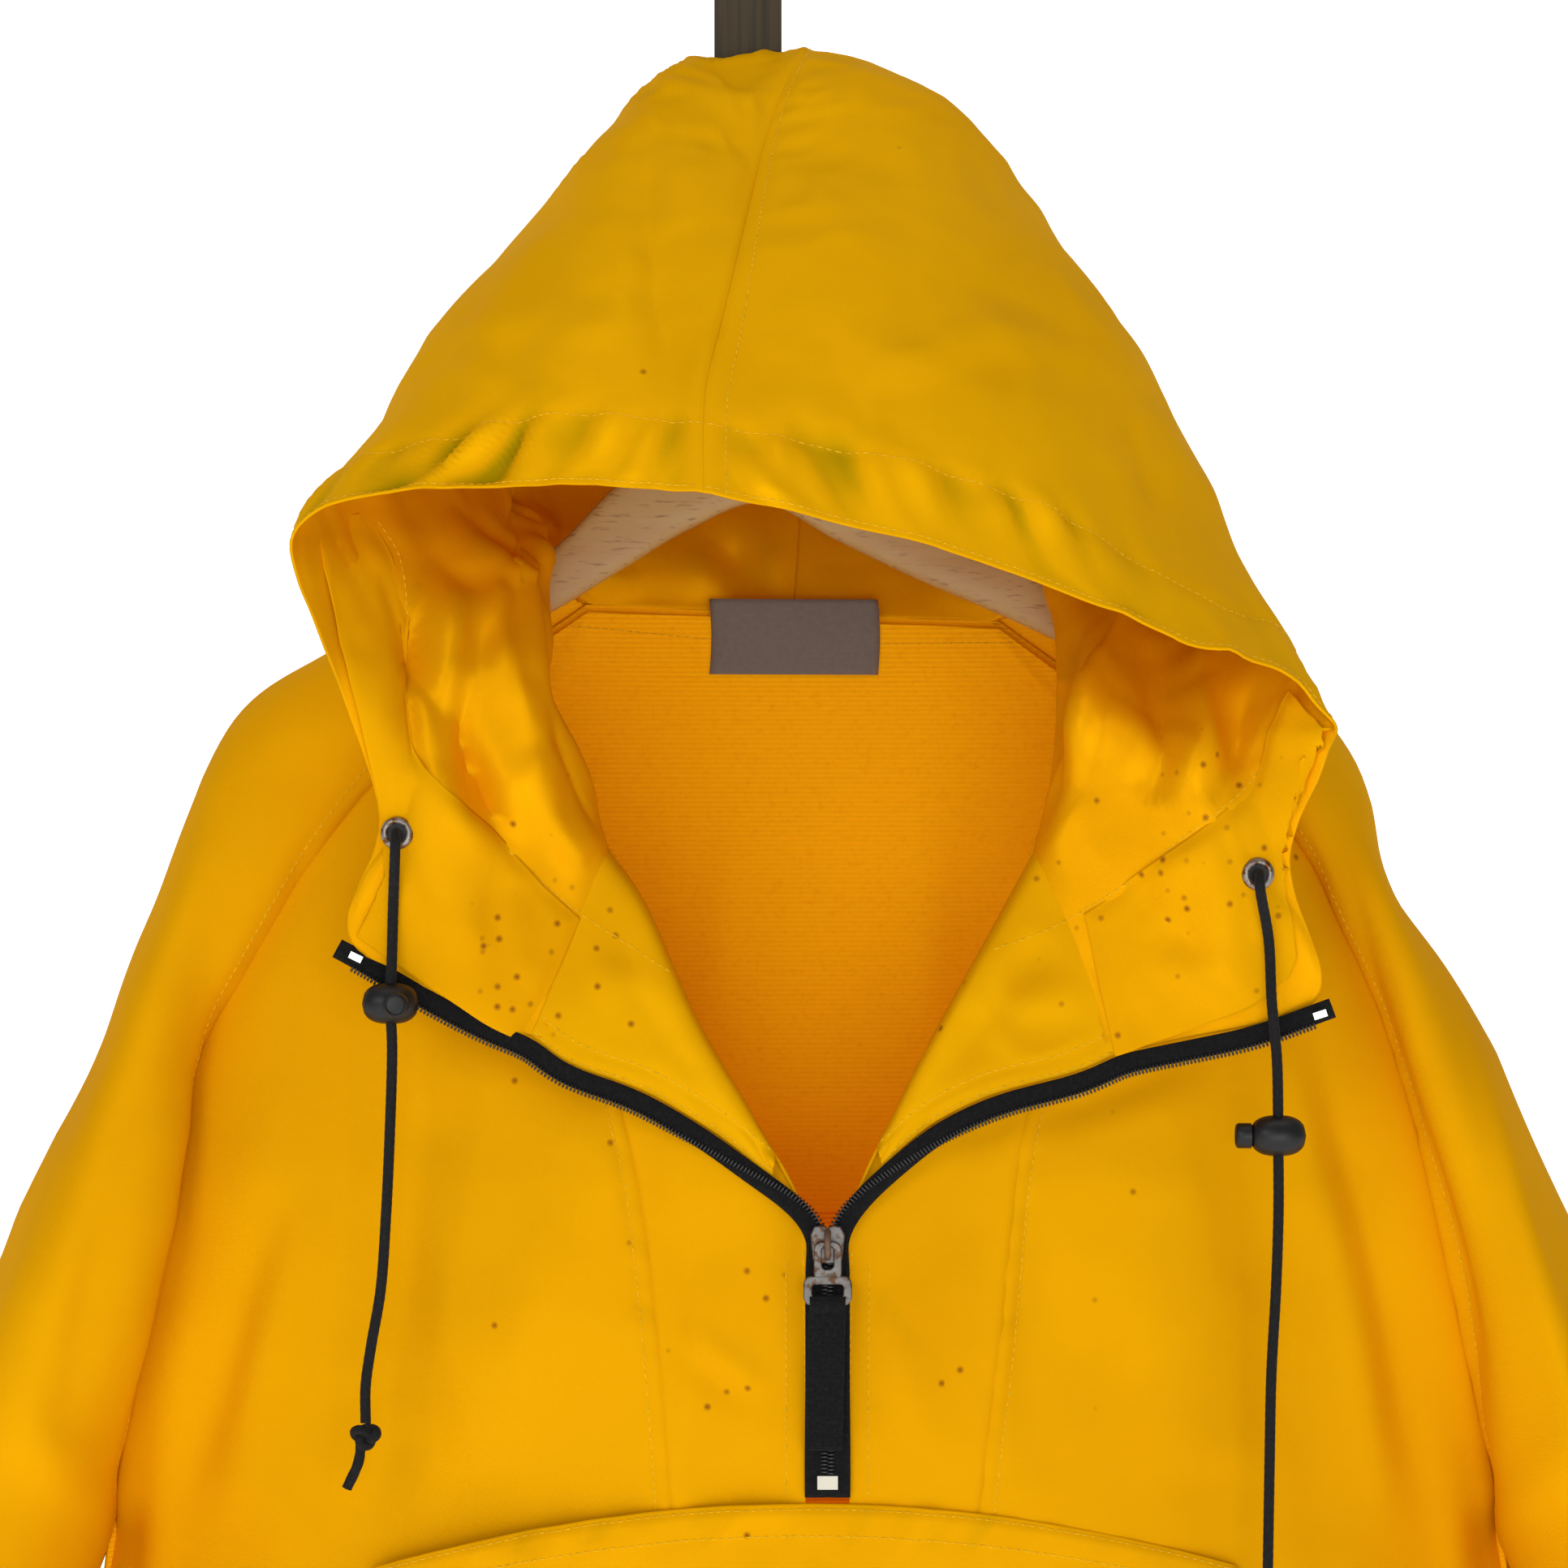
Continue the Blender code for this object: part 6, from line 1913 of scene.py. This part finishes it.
class ANORAK_OT_slider(AnorakOperator, bpy.types.Operator):
    """Zip slider with its bridge, the pull tab and its webbing."""

    bl_idname = "anorak.slider"
    bl_label = "Slider and pull tab"

    def build(self, context):
        x, y, z = SLIDER_AT
        outline = [(x + across, z + up) for across, up in SLIDER_OUTLINE]
        as_piece(rounded_plate("slider_body", outline, y, 1.7, 0.6),
                 GARMENT, ["zip_slider"])
        arch = even_route(np.add(SLIDER_AT, BRIDGE), 0.5)
        as_piece(tube_piece("slider_bridge", arch, 1.15, "rusty_bridge", 10),
                 GARMENT, [])
        for name, nodes, half, bevel, *loops in PULL_PLATES:
            outer, inner = (rounded_outline((x, HINGE_AT[2] - drop), size, radius)
                            for drop, size, radius in loops)
            plate = rounded_plate(name, outer, HINGE_AT[1], half, bevel, [inner])
            as_piece(plate, PULLER, nodes)
        self.webbing(x, HINGE_AT[1], HINGE_AT[2] - RAIL_DROP)

    def webbing(self, x, y, rail):
        """A strap folded over the ring's lower rail, with a bar tack and a cut end."""
        low, _ = cad_box("pull_webbing")
        half = STRAP_FOLD
        path = [(y - 0.75, low[2]), (y - 0.75, rail - 10.0), (y - 1.0, rail - 5.0),
                (y - half, rail - 1.0)]
        for k in range(1, 8):
            angle = math.pi * k / 8
            path.append((y - half * math.cos(angle), rail + half * math.sin(angle)))
        path += [(y + half, rail - 1.0), (y + 1.0, rail - 5.0), (y + 0.75, rail - 10.0),
                 (y + 0.75, low[2] + 0.8)]
        route = even_route([(0, a, b) for a, b in path], 1.5)
        rows = []
        for _, depth, height in route:
            drop = max(0.0, rail - height)
            sway = -0.028 * drop
            row = []
            for share in np.linspace(-1, 1, 11):
                reach = STRAP_HALF - 0.35 * max(0.0, 1 - abs(height - rail) / 5.0)
                row.append((x + sway + share * reach, depth - 0.012 * drop * share * 0.4, height))
            rows.append(row)
        strap = mesh_piece("pull_webbing_cloth", rows, grid_faces(len(route), 11), "pull_webbing")
        thicken(strap, TAPE_WALL)
        as_piece(strap, PULLER, ["pull_webbing"])
        tack = []
        for height, way in ((rail - 4.6, 1), (rail - 5.5, -1)):
            for share in np.linspace(-way, way, 12):
                tack.append(((x + share * 5.6, y - 1.9, height), (0, -1, 0)))
        dashes("pull_tack", tack, 1.2, 0.9, 0.4, "cord_braid", PULLER)


def knot_route(top, down, scale):
    """An overhand knot of one cord, from its standing end to its tail."""
    turns = np.linspace(0.25, 2 * math.pi - 0.25, 60)
    a = np.sin(turns) + 2 * np.sin(2 * turns)
    b = np.cos(turns) - 2 * np.cos(2 * turns)
    c = -np.sin(3 * turns)
    points = np.stack([a * scale, c * scale * 0.9, b * scale], axis=1)
    points[:, 2] *= 0.8
    return points + np.array(top) + np.array(down) * 2.2 * scale


class ANORAK_OT_cords(AnorakOperator, bpy.types.Operator):
    """Eyelets, drawcords, cord locks and knots."""

    bl_idname = "anorak.cords"
    bl_label = "Drawcords"

    def build(self, context):
        for side, route, tail in ((LEFT, CORD_LEFT, TAIL_LEFT), (RIGHT, CORD_RIGHT, TAIL_RIGHT)):
            label = side.label
            start = np.array(self.eyelet(side))
            points = np.vstack([start + (0, -0.8, 0), start + (0, -3.4, -0.6),
                                start + (0, -5.0, -6.0), route])
            smooth = even_route(points, 1.0)
            radius = make().cord_width / MM / 2
            cord = tube_piece(f"drawcord_braid_{label}", smooth, radius, "cord_braid",
                              sides=16, wave=BRAID_WAVE, pitch=BRAID_PITCH)
            as_piece(cord, GARMENT, [f"drawcord_{label}"])
            lock, button = self.lock(label), self.button(label)
            knot = self.knot(label, smooth[-1], tail)

    def eyelet(self, side):
        centre = settled(cad_middle(f"eyelet_{side.label}"))
        cloths = [SURFACES[f"hood_{layer}_{side.label}"] for layer in ("cloth", "facing_cloth")]
        spot = Vector(front_spot(cloths, centre[0], centre[2])) - Vector((0.0, 1.4, 0.0))
        _, way, _, _ = cloths[0].find_nearest(Vector(centre))
        way = (0.35 * (way if way.y < 0 else -way) + Vector((0.0, -1.0, 0.0))).normalized()
        turn = way.to_track_quat("Z", "Y").to_matrix()
        points, count = [], 40
        for k in range(count):
            angle = 2 * math.pi * k / count
            for radius, rise in EYELET_PROFILE:
                local = Vector((radius * math.cos(angle), radius * math.sin(angle), rise))
                points.append(np.array(spot + turn @ local))
        faces = grid_faces(count + 1, len(EYELET_PROFILE))
        wrapped = [[v % len(points) for v in face] for face in faces]
        ring = mesh_piece(f"eyelet_ring_{side.label}", points, wrapped, "eyelet_nickel")
        as_piece(ring, GARMENT, [f"eyelet_{side.label}"])
        # Painted shade: a black disc across the ring's hole stands for the dark inside of the eyelet around
        # the cord.
        radius, rise = EYELET_SHADE_DISC
        hole = [np.array(spot + turn @ Vector((radius * math.cos(t), radius * math.sin(t), rise)))
                for t in np.linspace(0, 2 * math.pi, 25)[:-1]]
        shade_disc = mesh_piece(f"eyelet_hole_{side.label}", hole, [list(range(24))], "lock_plastic")
        as_piece(shade_disc, GARMENT, [])
        return spot + turn @ Vector((0, 0, 1.2))

    def lock(self, label):
        """A round-ended barrel that fills the lock's box, with a faint groove at its middle."""
        low, high = cad_box(f"cord_lock_{label}")
        centre, half = (low + high) / 2, (high - low) / 2
        rows, cols = 25, 40
        points = []
        for j in range(rows):
            share = -1.0 + 2.0 * j / (rows - 1)
            radius = max(0.001, (1 - abs(share) ** 2.6)) ** 0.42
            groove = 1.0 - 0.012 * math.exp(-((share / 0.05) ** 2))
            for k in range(cols):
                angle = 2 * math.pi * k / cols
                points.append((centre[0] + half[0] * share,
                               centre[1] + half[1] * radius * groove * math.cos(angle),
                               centre[2] + half[2] * radius * groove * math.sin(angle)))
        body = mesh_piece(f"cord_lock_body_{label}", points, grid_faces(rows, cols, closed=True),
                          "lock_plastic")
        return as_piece(body, GARMENT, [f"cord_lock_{label}"])

    def button(self, label):
        """The button points forward on the left lock and sideways on the right one."""
        _, high = cad_box(f"lock_button_{label}")
        start = cad_middle(f"lock_button_{label}")
        axis = 1 if label == "left" else 0
        start[axis] = high[axis] + 1.0
        way = Vector((0.0, 0.0, 0.0))
        way[axis] = -1.0
        turn = way.to_track_quat("Z", "Y").to_matrix()
        points = []
        for reach, rise in BUTTON_PROFILE:
            for k in range(32):
                angle = 2 * math.pi * k / 32
                local = Vector((reach * math.cos(angle), reach * math.sin(angle), rise))
                points.append(np.array(Vector(start) + turn @ local))
        button = mesh_piece(f"cord_lock_button_{label}", points,
                            grid_faces(len(BUTTON_PROFILE), 32, closed=True), "lock_plastic")
        return as_piece(button, GARMENT, [f"lock_button_{label}"])

    def knot(self, label, end, tail):
        loops = knot_route(end + np.array((0.0, -0.3, -1.6)), (0, 0, -1), 1.35)
        route = np.vstack([end + (0, 0, -0.4), loops[:1] + (0, 0.2, 0.4), loops, tail[1:]])
        smooth = even_route(route, 0.6)
        knot = tube_piece(f"drawcord_knot_{label}", smooth, KNOT_RADIUS, "cord_braid",
                          sides=14, wave=BRAID_WAVE, pitch=BRAID_PITCH)
        return as_piece(knot, GARMENT, [f"knot_{label}"])


class ANORAK_OT_hanger(AnorakOperator, bpy.types.Operator):
    """The beech hanger, its steel hook and the flat bar above."""

    bl_idname = "anorak.hanger"
    bl_label = "Hanger and bar"

    def build(self, context):
        table = np.array(HANGER, float)
        fine = spline(table, np.linspace(0, len(table) - 1, 131))
        sides = 28
        points = []
        for x, top, bottom in fine:
            middle, half = (top + bottom) / 2, (top - bottom) / 2
            for k in range(sides):
                angle = 2 * math.pi * k / sides
                out, up = (np.sign(way) * abs(way) ** HANGER_ROUNDING
                           for way in (math.cos(angle), math.sin(angle)))
                points.append((x, HANGER_HALF * out, middle + half * up))
        faces = grid_faces(len(fine), sides, closed=True, capped=True)
        wood = mesh_piece("hanger_wood", points, faces, "beech")
        as_piece(wood, GARMENT, ["hanger"])
        route = even_route([(5, 0, -184.5)] + [(x, 0, z) for x, z in HOOK_ROUTE], 1.2)
        as_piece(tube_piece("hanger_hook_wire", route, HOOK_WIRE / 2, "hook_steel", 16),
                 GARMENT, ["hanger_hook"])
        recolour("hanging_bar", "bar_metal")


class ANORAK_PT_panel(bpy.types.Panel):
    """Lists the pieces and their settings."""

    bl_label = "Anorak"
    bl_idname = "ANORAK_PT_panel"
    bl_space_type = "VIEW_3D"
    bl_region_type = "UI"
    bl_category = "Anorak"

    def draw(self, context):
        for group, _ in SETTINGS:
            settings = getattr(context.scene, group)
            for name in settings.__annotations__:
                self.layout.prop(settings, name)
        for operator in OPERATORS:
            self.layout.operator(operator.bl_idname)


SETTINGS = (("anorak_look", AnorakLook), ("anorak_make", AnorakMake), ("anorak_stage", AnorakStage))
OPERATORS = (
    ANORAK_OT_stage, ANORAK_OT_hood, ANORAK_OT_fronts, ANORAK_OT_facings, ANORAK_OT_pouch,
    ANORAK_OT_back, ANORAK_OT_sleeves, ANORAK_OT_label, ANORAK_OT_sewing, ANORAK_OT_zip,
    ANORAK_OT_slider, ANORAK_OT_cords, ANORAK_OT_hanger,
)


def register():
    for name, settings in SETTINGS:
        bpy.utils.register_class(settings)
        setattr(bpy.types.Scene, name, PointerProperty(type=settings))
    for operator in OPERATORS:
        bpy.utils.register_class(operator)
    bpy.utils.register_class(ANORAK_PT_panel)


def unregister():
    bpy.utils.unregister_class(ANORAK_PT_panel)
    for operator in reversed(OPERATORS):
        bpy.utils.unregister_class(operator)
    for name, settings in reversed(SETTINGS):
        delattr(bpy.types.Scene, name)
        bpy.utils.unregister_class(settings)


def main():
    register()
    for operator in OPERATORS:
        group, name = operator.bl_idname.split(".")
        getattr(getattr(bpy.ops, group), name)()


if __name__ == "__main__":
    main()
